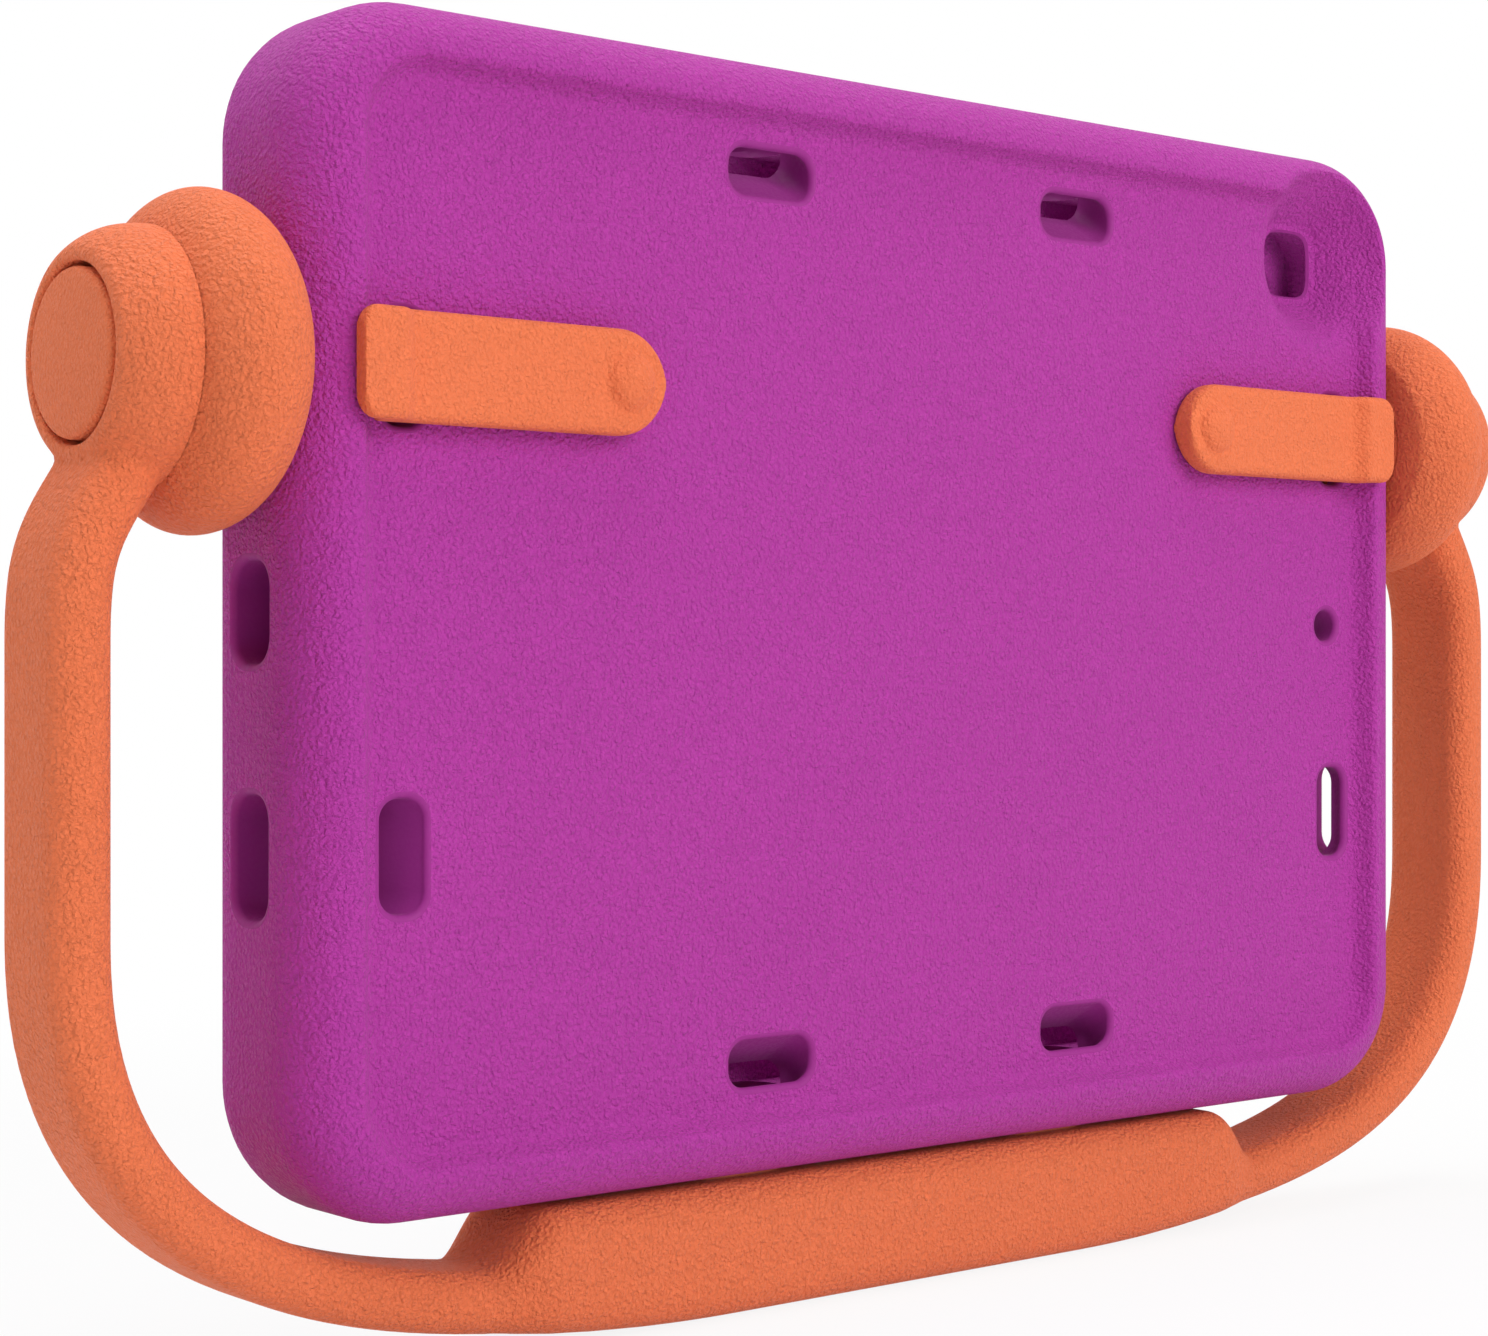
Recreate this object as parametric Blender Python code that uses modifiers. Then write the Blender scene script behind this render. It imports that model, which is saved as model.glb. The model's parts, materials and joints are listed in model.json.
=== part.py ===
"""A foam case that holds a tablet for a child, with a turning carry handle that is also its stand.

Metres, +Z up. +X runs along the case and +Y from its rear to its screen side. The origin lies on the
ground under the middle of the grip, straight below the axis that the handle turns on.
"""

from math import cos, pi, radians, sin, sqrt

import bmesh
import bpy
from mathutils import Matrix, Vector

MM = 0.001

# The tablet that the case is made for, lying on its long side
TABLET_WIDTH = 250.6 * MM
TABLET_HEIGHT = 174.1 * MM
TABLET_THICKNESS = 7.5 * MM
TABLET_CORNER = 9.0 * MM
TABLET_CLEARANCE = 0.3 * MM

# Gaps between pieces
FIT = 0.3 * MM
RUNNING_GAP = 0.5 * MM
GRIP_CLEARANCE = 0.8 * MM

# Foam shell
WALL = 15.0 * MM
SHELL_CORNER = 25.0 * MM
PANEL = 9.5 * MM
REAR_RIM = 4.2 * MM
REAR_ROUND = 12.0 * MM
RIM_SIDE = 12.5 * MM
RIM_END = 11.2 * MM
RECESS_CORNER = 13.0 * MM
RECESS_FILLET = 3.0 * MM
LIP = 2.5 * MM
LIP_OVERLAP = 6.0 * MM
LIP_CORNER = 7.0 * MM
BUMPER_RISE = 8.2 * MM
BUMPER_WIDTH = 13.0 * MM
FRONT_ROUND = 8.0 * MM

# Slots, from a mouth in the rear panel round the tablet's edge to a mouth in the wall
SLOT_UP = 40.5 * MM
SLOT_ALONG = 40.0 * MM
REAR_MOUTH_INSET = 21.0 * MM
REAR_MOUTH = (19.2 * MM, 8.5 * MM)
WALL_MOUTH = (20.8 * MM, 11.3 * MM)
WALL_MOUTH_DEPTH = 13.9 * MM
MOUTH_BEVEL = 1.0 * MM
SLOT_CORNER = 0.85
ELBOW_INSET = 12.15 * MM
ELBOW_TILT = 0.3

# Openings for the tablet's own sockets, camera and microphone
PORT_LENGTH = 17.1 * MM
EARPHONE_BORE = 9.0 * MM
EARPHONE_UP = 15.05 * MM
MICROPHONE_BORE = 6.6 * MM
MICROPHONE_INSET = 22.9 * MM
CAMERA_INSET = 10.5 * MM
CAMERA_DOWN = 8.0 * MM
CAMERA_HOLE = 14.0 * MM
CAMERA_FUNNEL = 36.0 * MM
CAMERA_FLARE = 1.6

# Clip strap, along the rear panel from its slot
STRAP_WIDTH = 18.6 * MM
STRAP_THICKNESS = 5.0 * MM
STRAP_REACH = 72.3 * MM
STRAP_OVERHANG = 9.0 * MM
BLOCK_RISE = 2.4 * MM
BLOCK_LENGTH = 9.6 * MM
BLOCK_STEP = 3.6 * MM
STRAP_EDGE = 1.6 * MM
DOME_WIDTH = 9.8 * MM
DOME_RISE = 1.6 * MM
DOME_INSET = 7.9 * MM
PEG_WIDTH = 5.4 * MM
PEG_LENGTH = 4.5 * MM
TONGUE_WIDTH = 15.0 * MM
TONGUE_THICKNESS = 4.3 * MM
PLATE_WIDTH = 30.0 * MM
PLATE_THICKNESS = 2.5 * MM

# Pivot, from the wall outwards
FLANGE_WIDTH = 56.4 * MM
FLANGE_HEIGHT = 18.0 * MM
FLANGE_SHOULDER = 10.3 * MM
FLANGE_DOME = (16.6 * MM, 11.4 * MM)
FLANGE_BACK = 12.6 * MM
AXLE_WIDTH = 12.0 * MM
AXLE_HEAD_WIDTH = 22.0 * MM
AXLE_HEAD = 2.5 * MM
HUB_WIDTH = 42.6 * MM
HUB_HEIGHT = 13.2 * MM
HUB_DOME = (12.0 * MM, 13.2 * MM)
HUB_WAIST = 2.6 * MM
HUB_BASE_ROUND = 1.0 * MM
BUSH_WALL = 1.7 * MM
CAP_RECESS = 5.0 * MM
CAP_WIDTH = 28.2 * MM
CAP_GAP = 0.4 * MM
CAP_SINK = 0.8 * MM
CAP_DOME = 1.1 * MM
CAP_EDGE = 0.6 * MM
WASHER_WIDTH = 22.0 * MM
WASHER_THICKNESS = 1.2 * MM
SCREW_WIDTH = 3.4 * MM
SCREW_LENGTH = 9.0 * MM
SCREW_HEAD = (7.2 * MM, 1.6 * MM)
SCREW_CROWN = 5.0 * MM

# Handle: two arms bent round from the hubs, and the grip between them
HAND_GAP = 28.8 * MM
ARM_THICKNESS = 11.0 * MM
ARM_DEPTH = 22.0 * MM
ARM_ROUND = 4.8 * MM
NECK_SEAT = 5.4 * MM
NECK_TOP = 16.0 * MM
NECK_DROP = 44.9 * MM
NECK_LEAN = radians(57.5)
NECK_PULL = (13.8 * MM, 14.9 * MM)
BEND_RISE = 65.7 * MM
BEND_PULL = (46.0 * MM, 42.0 * MM)
BEND_SLOPE = radians(7.3)
GRIP_THICKNESS = 24.5 * MM
GRIP_DEPTH = 27.0 * MM
GRIP_ROUND = 6.0 * MM
GRIP_END = 98.4 * MM
GRIP_SHOULDER = 86.0 * MM
GRIP_FOOT = 45.0 * MM
FOOT_WIDTH = 16.0 * MM
FOOT_TIP = 6.0 * MM
FOOT_LIFT = 3.8 * MM
ARM_AT_GRIP = 10.8 * MM

# Places that follow from the sizes above
POCKET_X = TABLET_WIDTH / 2 + TABLET_CLEARANCE
POCKET_Z = TABLET_HEIGHT / 2 + TABLET_CLEARANCE
SHELL_X = POCKET_X + WALL
SHELL_Z = POCKET_Z + WALL
PANEL_Y = -WALL_MOUTH_DEPTH
RIM_Y = PANEL_Y - REAR_RIM
POCKET_Y = PANEL_Y + PANEL
LIP_Y = POCKET_Y + TABLET_THICKNESS + TABLET_CLEARANCE
BUMPER_Y = LIP_Y + LIP
FRONT_Y = BUMPER_Y + BUMPER_RISE
CASE_Z = GRIP_THICKNESS + GRIP_CLEARANCE + SHELL_Z
PIVOT_Z = CASE_Z + SLOT_UP
EARPHONE_Z = EARPHONE_UP - TABLET_HEIGHT / 2
PEG_OUT = SHELL_X - STRAP_REACH + DOME_INSET
PLATE_OUT = SHELL_X + FIT
HEAD_OUT = PLATE_OUT + PLATE_THICKNESS + FIT
SEAT_OUT = HEAD_OUT + AXLE_HEAD + FIT
FLANGE_TOP = SHELL_X + FIT + FLANGE_HEIGHT
HUB_BASE = FLANGE_TOP + RUNNING_GAP
HUB_TOP = HUB_BASE + HUB_HEIGHT
RECESS_FLOOR = HUB_TOP - CAP_RECESS
AXLE_END = RECESS_FLOOR + FIT
WASHER_OUT = AXLE_END + FIT
CAP_OUT = WASHER_OUT + WASHER_THICKNESS + FIT
BORE_WIDTH = AXLE_WIDTH + 2 * FIT
ARM_CENTRE = SHELL_X + HAND_GAP + ARM_THICKNESS / 2
ARM_LOW = PIVOT_Z - FOOT_LIFT - ARM_AT_GRIP / 2

# How finely round shapes are divided
CORNER_STEPS = 6
SLOT_STEPS = 3
TURN_STEPS = 24
SMALL_TURN_STEPS = 16
FUNNEL_STEPS = 5
NECK_STEPS = 6
BEND_STEPS = 8
SHOULDER_STEPS = 5
RISE_STEPS = 3
FOOT_STEPS = 4
TIP_STEPS = 5
DOME_STEPS = 4
CROWN_STEPS = 7
BACK_STEPS = 4

# The closest two points may lie, the widest slit that a cut may leave between faces, the angle of a visible
# edge, and the most of a side that a round may take
WELD = 0.001 * MM
CUT_SLIT = 0.02 * MM
EDGE_ANGLE = radians(40)
FLAT_ANGLE = radians(1)
ROUND_LIMIT = 0.9

# Each side of the case: the way out from its middle, and the way along that side
SIDES = {
    "left": (Vector((-1, 0, 0)), Vector((0, 0, 1)), SHELL_X),
    "right": (Vector((1, 0, 0)), Vector((0, 0, 1)), SHELL_X),
    "top": (Vector((0, 0, 1)), Vector((1, 0, 0)), SHELL_Z),
    "bottom": (Vector((0, 0, -1)), Vector((1, 0, 0)), SHELL_Z),
}


def clear_scene():
    for obj in list(bpy.data.objects):
        bpy.data.objects.remove(obj, do_unlink=True)


def new_collection(name):
    collection = bpy.data.collections.new(name)
    bpy.context.scene.collection.children.link(collection)
    return collection


def new_material(name, colour, roughness, metallic=0.0):
    material = bpy.data.materials.new(name)
    material.use_nodes = True
    shader = material.node_tree.nodes["Principled BSDF"]
    shader.inputs["Base Color"].default_value = (*colour, 1.0)
    shader.inputs["Roughness"].default_value = roughness
    shader.inputs["Metallic"].default_value = metallic
    return material


def add_object(name, mesh, collection, material=None):
    obj = bpy.data.objects.new(name, mesh)
    collection.objects.link(obj)
    if material:
        mesh.materials.append(material)
        mesh.shade_smooth()
        mesh.set_sharp_from_angle(angle=EDGE_ANGLE)
    else:
        obj.hide_render = True
        obj.display_type = "WIRE"
    return obj


def closed_mesh(name, bm):
    """The bmesh as a mesh, its loose seams welded and its faces pointing out."""
    bmesh.ops.remove_doubles(bm, verts=bm.verts, dist=WELD)
    bmesh.ops.recalc_face_normals(bm, faces=bm.faces)
    if bm.calc_volume(signed=True) < 0:
        bmesh.ops.reverse_faces(bm, faces=bm.faces)
    mesh = bpy.data.meshes.new(name)
    bm.to_mesh(mesh)
    bm.free()
    return mesh


def rounded_rectangle(half_a, half_b, radius, steps=CORNER_STEPS):
    """Points (a, b) round a rectangle with round corners, anticlockwise from the end of its +a side."""
    points = []
    corners = ((1, 1, 0), (-1, 1, pi / 2), (-1, -1, pi), (1, -1, 3 * pi / 2))
    for sign_a, sign_b, start in corners:
        for step in range(steps + 1):
            angle = start + pi / 2 * step / steps
            a = sign_a * (half_a - radius) + radius * cos(angle)
            b = sign_b * (half_b - radius) + radius * sin(angle)
            points.append((a, b))
    return points


def soft_square(half_width, power, steps=TURN_STEPS):
    """Points (a, b) round a circle, when power is 2, or a square with ever tighter corners."""
    points = []
    for step in range(steps):
        angle = 2 * pi * step / steps
        reach = (abs(cos(angle)) ** power + abs(sin(angle)) ** power) ** (-1 / power)
        points.append((half_width * reach * cos(angle), half_width * reach * sin(angle)))
    return points


def loft(rings):
    """A closed bmesh through rings that all have as many points, with both ends capped."""
    bm = bmesh.new()
    loops = [[bm.verts.new(point) for point in ring] for ring in rings]
    count = len(loops[0])
    for near, far in zip(loops, loops[1:]):
        for i in range(count):
            bm.faces.new((near[i], near[(i + 1) % count], far[(i + 1) % count], far[i]))
    bmesh.ops.triangulate(bm, faces=bm.faces)
    bm.faces.new(loops[0])
    bm.faces.new(loops[-1])
    return bm


def flat_outline(outline, y0, y1):
    """A bmesh of an outline in X and Z about the case's middle, filled and as thick as from y0 to y1."""
    curve = bpy.data.curves.new("outline", "CURVE")
    curve.dimensions = "2D"
    curve.fill_mode = "BOTH"
    curve.extrude = (y1 - y0) / 2
    spline = curve.splines.new("POLY")
    spline.points.add(len(outline) - 1)
    for point, (a, b) in zip(spline.points, outline):
        point.co = (a, b, 0, 1)
    spline.use_cyclic_u = True
    guide = bpy.data.objects.new("outline", curve)
    bpy.context.scene.collection.objects.link(guide)
    guide.location = (0, (y0 + y1) / 2, CASE_Z)
    guide.rotation_euler = (pi / 2, 0, 0)
    bpy.context.view_layer.update()
    graph = bpy.context.evaluated_depsgraph_get()
    mesh = bpy.data.meshes.new_from_object(guide.evaluated_get(graph))
    mesh.transform(guide.matrix_world)
    bm = bmesh.new()
    bm.from_mesh(mesh)
    bmesh.ops.remove_doubles(bm, verts=bm.verts, dist=WELD)
    bmesh.ops.dissolve_limit(bm, angle_limit=FLAT_ANGLE, verts=bm.verts, edges=bm.edges)
    bpy.data.objects.remove(guide)
    bpy.data.meshes.remove(mesh)
    bpy.data.curves.remove(curve)
    return bm


def round_edge_at(bm, y, radius, segments):
    """Rounds the edges that lie in the plane at this y."""
    edges = [e for e in bm.edges if all(abs(v.co.y - y) < 10 * WELD for v in e.verts)]
    bmesh.ops.bevel(bm, geom=edges, offset=radius, segments=segments, profile=0.5, affect="EDGES")


def turned(name, profile, steps=TURN_STEPS, closed=False):
    """A mesh turned about the pivot's axis. The profile's points are (radius, distance out from the case)."""
    bm = bmesh.new()
    verts = [bm.verts.new((radius, 0, height)) for radius, height in profile]
    pairs = list(zip(verts, verts[1:]))
    if closed:
        pairs.append((verts[-1], verts[0]))
    for pair in pairs:
        bm.edges.new(pair)
    outline = bpy.data.meshes.new(name)
    bm.to_mesh(outline)
    bm.free()
    guide = bpy.data.objects.new(name, outline)
    bpy.context.scene.collection.objects.link(guide)
    screw = guide.modifiers.new("turn", "SCREW")
    screw.steps = steps
    screw.render_steps = steps
    screw.use_merge_vertices = True
    screw.merge_threshold = WELD
    bpy.context.view_layer.update()
    graph = bpy.context.evaluated_depsgraph_get()
    mesh = bpy.data.meshes.new_from_object(guide.evaluated_get(graph))
    bpy.data.objects.remove(guide)
    mesh.transform(Matrix.Rotation(pi / 2, 4, "Y"))
    bm = bmesh.new()
    bm.from_mesh(mesh)
    return closed_mesh(name, bm)


def mirrored(mesh, name):
    """A mirror image of the mesh in the plane X = 0."""
    bm = bmesh.new()
    bm.from_mesh(mesh)
    bm.transform(Matrix.Scale(-1, 4, Vector((1, 0, 0))))
    return closed_mesh(name, bm)


def apply_modifiers(obj):
    bpy.context.view_layer.update()
    graph = bpy.context.evaluated_depsgraph_get()
    mesh = bpy.data.meshes.new_from_object(obj.evaluated_get(graph))
    obj.modifiers.clear()
    obj.data = mesh
    return mesh


def combine(obj, tool, operation):
    modifier = obj.modifiers.new(tool.name, "BOOLEAN")
    modifier.operation = operation
    modifier.object = tool


def slot_ring(side, level, half_a, half_b, along, spread=0.0):
    """One ring of a slot. The level is "rear", "elbow" or "wall", and spread moves a mouth's ring along."""
    out, run, reach = SIDES[side]
    radius = SLOT_CORNER * half_b
    ring = []
    for a, b in rounded_rectangle(half_a, half_b, radius, SLOT_STEPS):
        if level == "rear":
            point = out * (reach - REAR_MOUTH_INSET + b) + Vector((0, PANEL_Y + spread, 0))
        elif level == "elbow":
            point = out * (reach - ELBOW_INSET + ELBOW_TILT * b) + Vector((0, -b, 0))
        else:
            point = out * (reach + spread) + Vector((0, -b, 0))
        ring.append(point + run * (along + a) + Vector((0, 0, CASE_Z)))
    return ring


def slot_cutter(side, along):
    """The whole slot, from outside the rear panel round the elbow to outside the wall."""
    rear_a, rear_b = (size / 2 for size in REAR_MOUTH)
    wall_a, wall_b = (size / 2 for size in WALL_MOUTH)
    past = FIT + MOUTH_BEVEL
    return loft(
        [
            slot_ring(side, "rear", rear_a + past, rear_b + past, along, -FIT),
            slot_ring(side, "rear", rear_a, rear_b, along, MOUTH_BEVEL),
            slot_ring(side, "elbow", wall_a, wall_b, along),
            slot_ring(side, "wall", wall_a, wall_b, along, -MOUTH_BEVEL),
            slot_ring(side, "wall", wall_a + past, wall_b + past, along, FIT),
        ]
    )


def port_cutter(side, half_length, half_depth, along):
    """A straight opening from outside the wall into the tablet's pocket."""
    past = FIT + MOUTH_BEVEL
    return loft(
        [
            slot_ring(side, "wall", half_length, half_depth, along, -WALL - TABLET_CLEARANCE),
            slot_ring(side, "wall", half_length, half_depth, along, -MOUTH_BEVEL),
            slot_ring(side, "wall", half_length + past, half_depth + past, along, FIT),
        ]
    )


def panel_ring(x, z, half_width, power, depth):
    """A ring in the plane that lies this deep behind the rear panel's face."""
    centre = Vector((x, PANEL_Y + depth, CASE_Z + z))
    return [centre + Vector((a, 0, b)) for a, b in soft_square(half_width, power)]


def microphone_cutter():
    x = SHELL_X - MICROPHONE_INSET
    bore = MICROPHONE_BORE / 2
    return loft(
        [
            panel_ring(x, 0, bore + FIT + MOUTH_BEVEL, 2, -FIT),
            panel_ring(x, 0, bore, 2, MOUTH_BEVEL),
            panel_ring(x, 0, bore, 2, PANEL + FIT),
        ]
    )


def camera_cutter():
    """The funnel: a round rim that closes down to the soft-cornered hole over the tablet's camera."""
    x = POCKET_X - CAMERA_INSET
    z = POCKET_Z - CAMERA_DOWN
    rim = CAMERA_FUNNEL / 2
    hole = CAMERA_HOLE / 2
    rings = [panel_ring(x, z, rim + FIT, 2, -2 * REAR_RIM)]
    for level in range(FUNNEL_STEPS + 1):
        share = level / FUNNEL_STEPS
        width = hole + (rim - hole) * (1 - share) ** CAMERA_FLARE
        rings.append(panel_ring(x, z, width, 2 + 2 * share, PANEL * share))
    rings.append(panel_ring(x, z, hole, 4, PANEL + FIT))
    return loft(rings)


def peg_hole_cutter(side_sign):
    x = side_sign * PEG_OUT
    width = PEG_WIDTH / 2 + FIT
    return loft(
        [
            panel_ring(x, SLOT_UP, width, 2, -FIT),
            panel_ring(x, SLOT_UP, width, 2, PEG_LENGTH + FIT),
        ]
    )


def rectangle_ring(half_x, half_z, corner, y):
    return [Vector((a, y, CASE_Z + b)) for a, b in rounded_rectangle(half_x, half_z, corner)]


def screen_cutter():
    """The opening over the screen, straight through the lip and then wider to the bumper's front."""
    lip_x = POCKET_X - LIP_OVERLAP
    lip_z = POCKET_Z - LIP_OVERLAP
    front_x = SHELL_X - BUMPER_WIDTH
    front_z = SHELL_Z - BUMPER_WIDTH
    front_corner = SHELL_CORNER - BUMPER_WIDTH
    return loft(
        [
            rectangle_ring(lip_x, lip_z, LIP_CORNER, LIP_Y - FIT),
            rectangle_ring(lip_x, lip_z, LIP_CORNER, BUMPER_Y),
            rectangle_ring(front_x, front_z, front_corner, FRONT_Y),
            rectangle_ring(front_x, front_z, front_corner, FRONT_Y + FIT),
        ]
    )


def recess_cutter():
    corner = RECESS_CORNER
    outline = rounded_rectangle(SHELL_X - RIM_SIDE, SHELL_Z - RIM_END, corner)
    bm = flat_outline(outline, RIM_Y - FIT, PANEL_Y)
    round_edge_at(bm, PANEL_Y, RECESS_FILLET, 3)
    return bm


def make_shell(parts, cutters, foam):
    bm = flat_outline(rounded_rectangle(SHELL_X, SHELL_Z, SHELL_CORNER), RIM_Y, FRONT_Y)
    round_edge_at(bm, RIM_Y, REAR_ROUND, 5)
    round_edge_at(bm, FRONT_Y, FRONT_ROUND, 4)
    shell = add_object("case_shell", closed_mesh("case_shell", bm), parts, foam)
    pocket = rounded_rectangle(POCKET_X, POCKET_Z, TABLET_CORNER)
    tools = {
        "recess": recess_cutter(),
        "pocket": flat_outline(pocket, POCKET_Y, LIP_Y),
        "screen": screen_cutter(),
        "camera": camera_cutter(),
        "microphone": microphone_cutter(),
        "port": port_cutter("left", PORT_LENGTH / 2, WALL_MOUTH[1] / 2, 0),
        "earphone": port_cutter("right", EARPHONE_BORE / 2, EARPHONE_BORE / 2, EARPHONE_Z),
        "peg_left": peg_hole_cutter(-1),
        "peg_right": peg_hole_cutter(1),
    }
    for side in ("left", "right"):
        for along in (-SLOT_UP, SLOT_UP):
            tools[f"slot_{side}_{along > 0}"] = slot_cutter(side, along)
    for side in ("top", "bottom"):
        for along in (-SLOT_ALONG, SLOT_ALONG):
            tools[f"slot_{side}_{along > 0}"] = slot_cutter(side, along)
    for name, tool in tools.items():
        combine(shell, add_object(name, closed_mesh(name, tool), cutters), "DIFFERENCE")
    seams = shell.modifiers.new("seams", "WELD")
    seams.merge_threshold = CUT_SLIT
    return shell


def ellipse_run(centre, semi, start, end, count):
    """Points (radius, out) along an ellipse from one distance out to another."""
    points = []
    for step in range(count + 1):
        out = start + (end - start) * step / count
        share = (out - centre[1]) / semi[1]
        points.append((centre[0] + semi[0] * sqrt(1 - share * share), out))
    return points


def flange_mesh():
    base = SHELL_X + FIT
    widest = (FLANGE_WIDTH / 2 - FLANGE_DOME[0], base + FLANGE_SHOULDER)
    dome = ellipse_run(widest, FLANGE_DOME, widest[1], FLANGE_TOP, CROWN_STEPS)
    shoulder = ellipse_run(widest, (FLANGE_DOME[0], FLANGE_BACK), base, widest[1], BACK_STEPS)
    outer = (shoulder[:-1] + dome)[::-1]
    bore = BORE_WIDTH / 2
    head = AXLE_HEAD_WIDTH / 2 + FIT
    plate = PLATE_WIDTH / 2 + FIT
    pocket = [(plate, base), (plate, HEAD_OUT), (head, HEAD_OUT), (head, SEAT_OUT), (bore, SEAT_OUT)]
    return turned("pivot_flange", outer + pocket + [(bore, FLANGE_TOP)], closed=True)


def hub_mesh():
    """The hub before it is bored, solid to its axis."""
    middle = (HUB_WIDTH / 2 - HUB_DOME[0], HUB_BASE + HUB_WAIST)
    outer = ellipse_run(middle, HUB_DOME, HUB_BASE + HUB_BASE_ROUND / 2, HUB_TOP, CROWN_STEPS)
    base = [(outer[0][0] - HUB_BASE_ROUND / 2, HUB_BASE), (0, HUB_BASE)]
    return turned("hub", [(0, HUB_TOP)] + outer[::-1] + base)


def hub_bore_mesh():
    """What is taken out of the hub: the bush's bore and the recess that the cap sits in."""
    bore = BORE_WIDTH / 2 + BUSH_WALL + FIT
    recess = CAP_WIDTH / 2 + CAP_GAP
    profile = [
        (0, HUB_TOP + FIT),
        (recess, HUB_TOP + FIT),
        (recess, RECESS_FLOOR),
        (bore, RECESS_FLOOR),
        (bore, HUB_BASE - RUNNING_GAP / 2),
        (0, HUB_BASE - RUNNING_GAP / 2),
    ]
    return turned("hub_bore", profile)


def bush_mesh():
    inner = BORE_WIDTH / 2
    outer = inner + BUSH_WALL
    profile = [(outer, RECESS_FLOOR), (outer, HUB_BASE), (inner, HUB_BASE), (inner, RECESS_FLOOR)]
    return turned("hub_bush", profile, SMALL_TURN_STEPS, True)


def axle_mesh():
    """A headed pin with a blind hole for the screw in its outer end."""
    pin = AXLE_WIDTH / 2
    head = AXLE_HEAD_WIDTH / 2
    hole = SCREW_WIDTH / 2 + FIT
    bottom = AXLE_END - SCREW_LENGTH
    profile = [
        (0, bottom),
        (hole, bottom),
        (hole, AXLE_END),
        (pin, AXLE_END),
        (pin, HEAD_OUT + AXLE_HEAD),
        (head, HEAD_OUT + AXLE_HEAD),
        (head, HEAD_OUT),
        (0, HEAD_OUT),
    ]
    return turned("axle", profile, SMALL_TURN_STEPS)


def washer_mesh():
    inner = SCREW_WIDTH / 2 + FIT
    outer = WASHER_WIDTH / 2
    top = WASHER_OUT + WASHER_THICKNESS
    profile = [(outer, top), (outer, WASHER_OUT), (inner, WASHER_OUT), (inner, top)]
    return turned("retaining_washer", profile, SMALL_TURN_STEPS, True)


def screw_mesh():
    shank = SCREW_WIDTH / 2
    head = SCREW_HEAD[0] / 2
    seat = WASHER_OUT + WASHER_THICKNESS + FIT
    tip = AXLE_END - SCREW_LENGTH + 2 * FIT
    profile = [
        (0, seat + SCREW_HEAD[1]),
        (SCREW_CROWN / 2, seat + SCREW_HEAD[1]),
        (head, seat + SCREW_HEAD[1] / 2),
        (head, seat),
        (shank, seat),
        (shank, tip),
        (0, tip),
    ]
    return turned("axle_screw", profile, SMALL_TURN_STEPS)


def cap_mesh():
    """A domed plug that stands on the washer, hollow over the screw's head."""
    outer = CAP_WIDTH / 2
    rim = HUB_TOP - CAP_SINK
    top = rim + CAP_EDGE + CAP_DOME
    hollow = SCREW_HEAD[0] / 2 + FIT
    hollow_top = CAP_OUT + SCREW_HEAD[1] + FIT
    sphere = (outer * outer + CAP_DOME * CAP_DOME) / (2 * CAP_DOME)
    dome = []
    for step in range(DOME_STEPS):
        radius = (outer - CAP_EDGE) * step / DOME_STEPS
        dome.append((radius, top - sphere + sqrt(sphere * sphere - radius * radius)))
    edge = [(outer - CAP_EDGE, rim + CAP_EDGE), (outer, rim)]
    base = [(outer, CAP_OUT), (hollow, CAP_OUT), (hollow, hollow_top), (0, hollow_top)]
    return turned("hub_cap", dome + edge + base)


def bezier(points, share):
    """A point on the cubic curve with these four control points."""
    rest = 1 - share
    weights = (rest**3, 3 * rest * rest * share, 3 * rest * share * share, share**3)
    total = Vector((0, 0))
    for weight, point in zip(weights, points):
        total += weight * point
    return total


def smooth_step(share):
    share = min(max(share, 0), 1)
    return share * share * (3 - 2 * share)


def handle_stations():
    """The right arm from hub to grip: its middle in X and Z from the pivot, and half its thickness."""
    half = ARM_THICKNESS / 2
    top = Vector((HUB_BASE + NECK_SEAT, -NECK_TOP))
    straight = Vector((ARM_CENTRE, -NECK_DROP))
    neck = [
        top,
        top + NECK_PULL[0] * Vector((cos(NECK_LEAN), -sin(NECK_LEAN))),
        straight + Vector((0, NECK_PULL[1])),
        straight,
    ]
    start = Vector((ARM_CENTRE, BEND_RISE - ARM_LOW))
    end = Vector((GRIP_END, -ARM_LOW))
    bend = [
        start,
        start - Vector((0, BEND_PULL[0])),
        end + BEND_PULL[1] * Vector((cos(BEND_SLOPE), sin(BEND_SLOPE))),
        end,
    ]
    stations = [(bezier(neck, step / NECK_STEPS), half) for step in range(NECK_STEPS + 1)]
    for step in range(BEND_STEPS + 1):
        share = step / BEND_STEPS
        thick = half + (ARM_AT_GRIP / 2 - half) * smooth_step(share)
        stations.append((bezier(bend, share), thick))
    return stations


def between(first, last, share):
    return first + (last - first) * share


def foot_half(x):
    """Half the width of the flat that the grip stands on, which narrows in a curve towards its ends."""
    curve = sqrt(max(1 - (x / GRIP_FOOT) ** 6, 0))
    return between(FOOT_TIP, FOOT_WIDTH, curve) / 2


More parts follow.
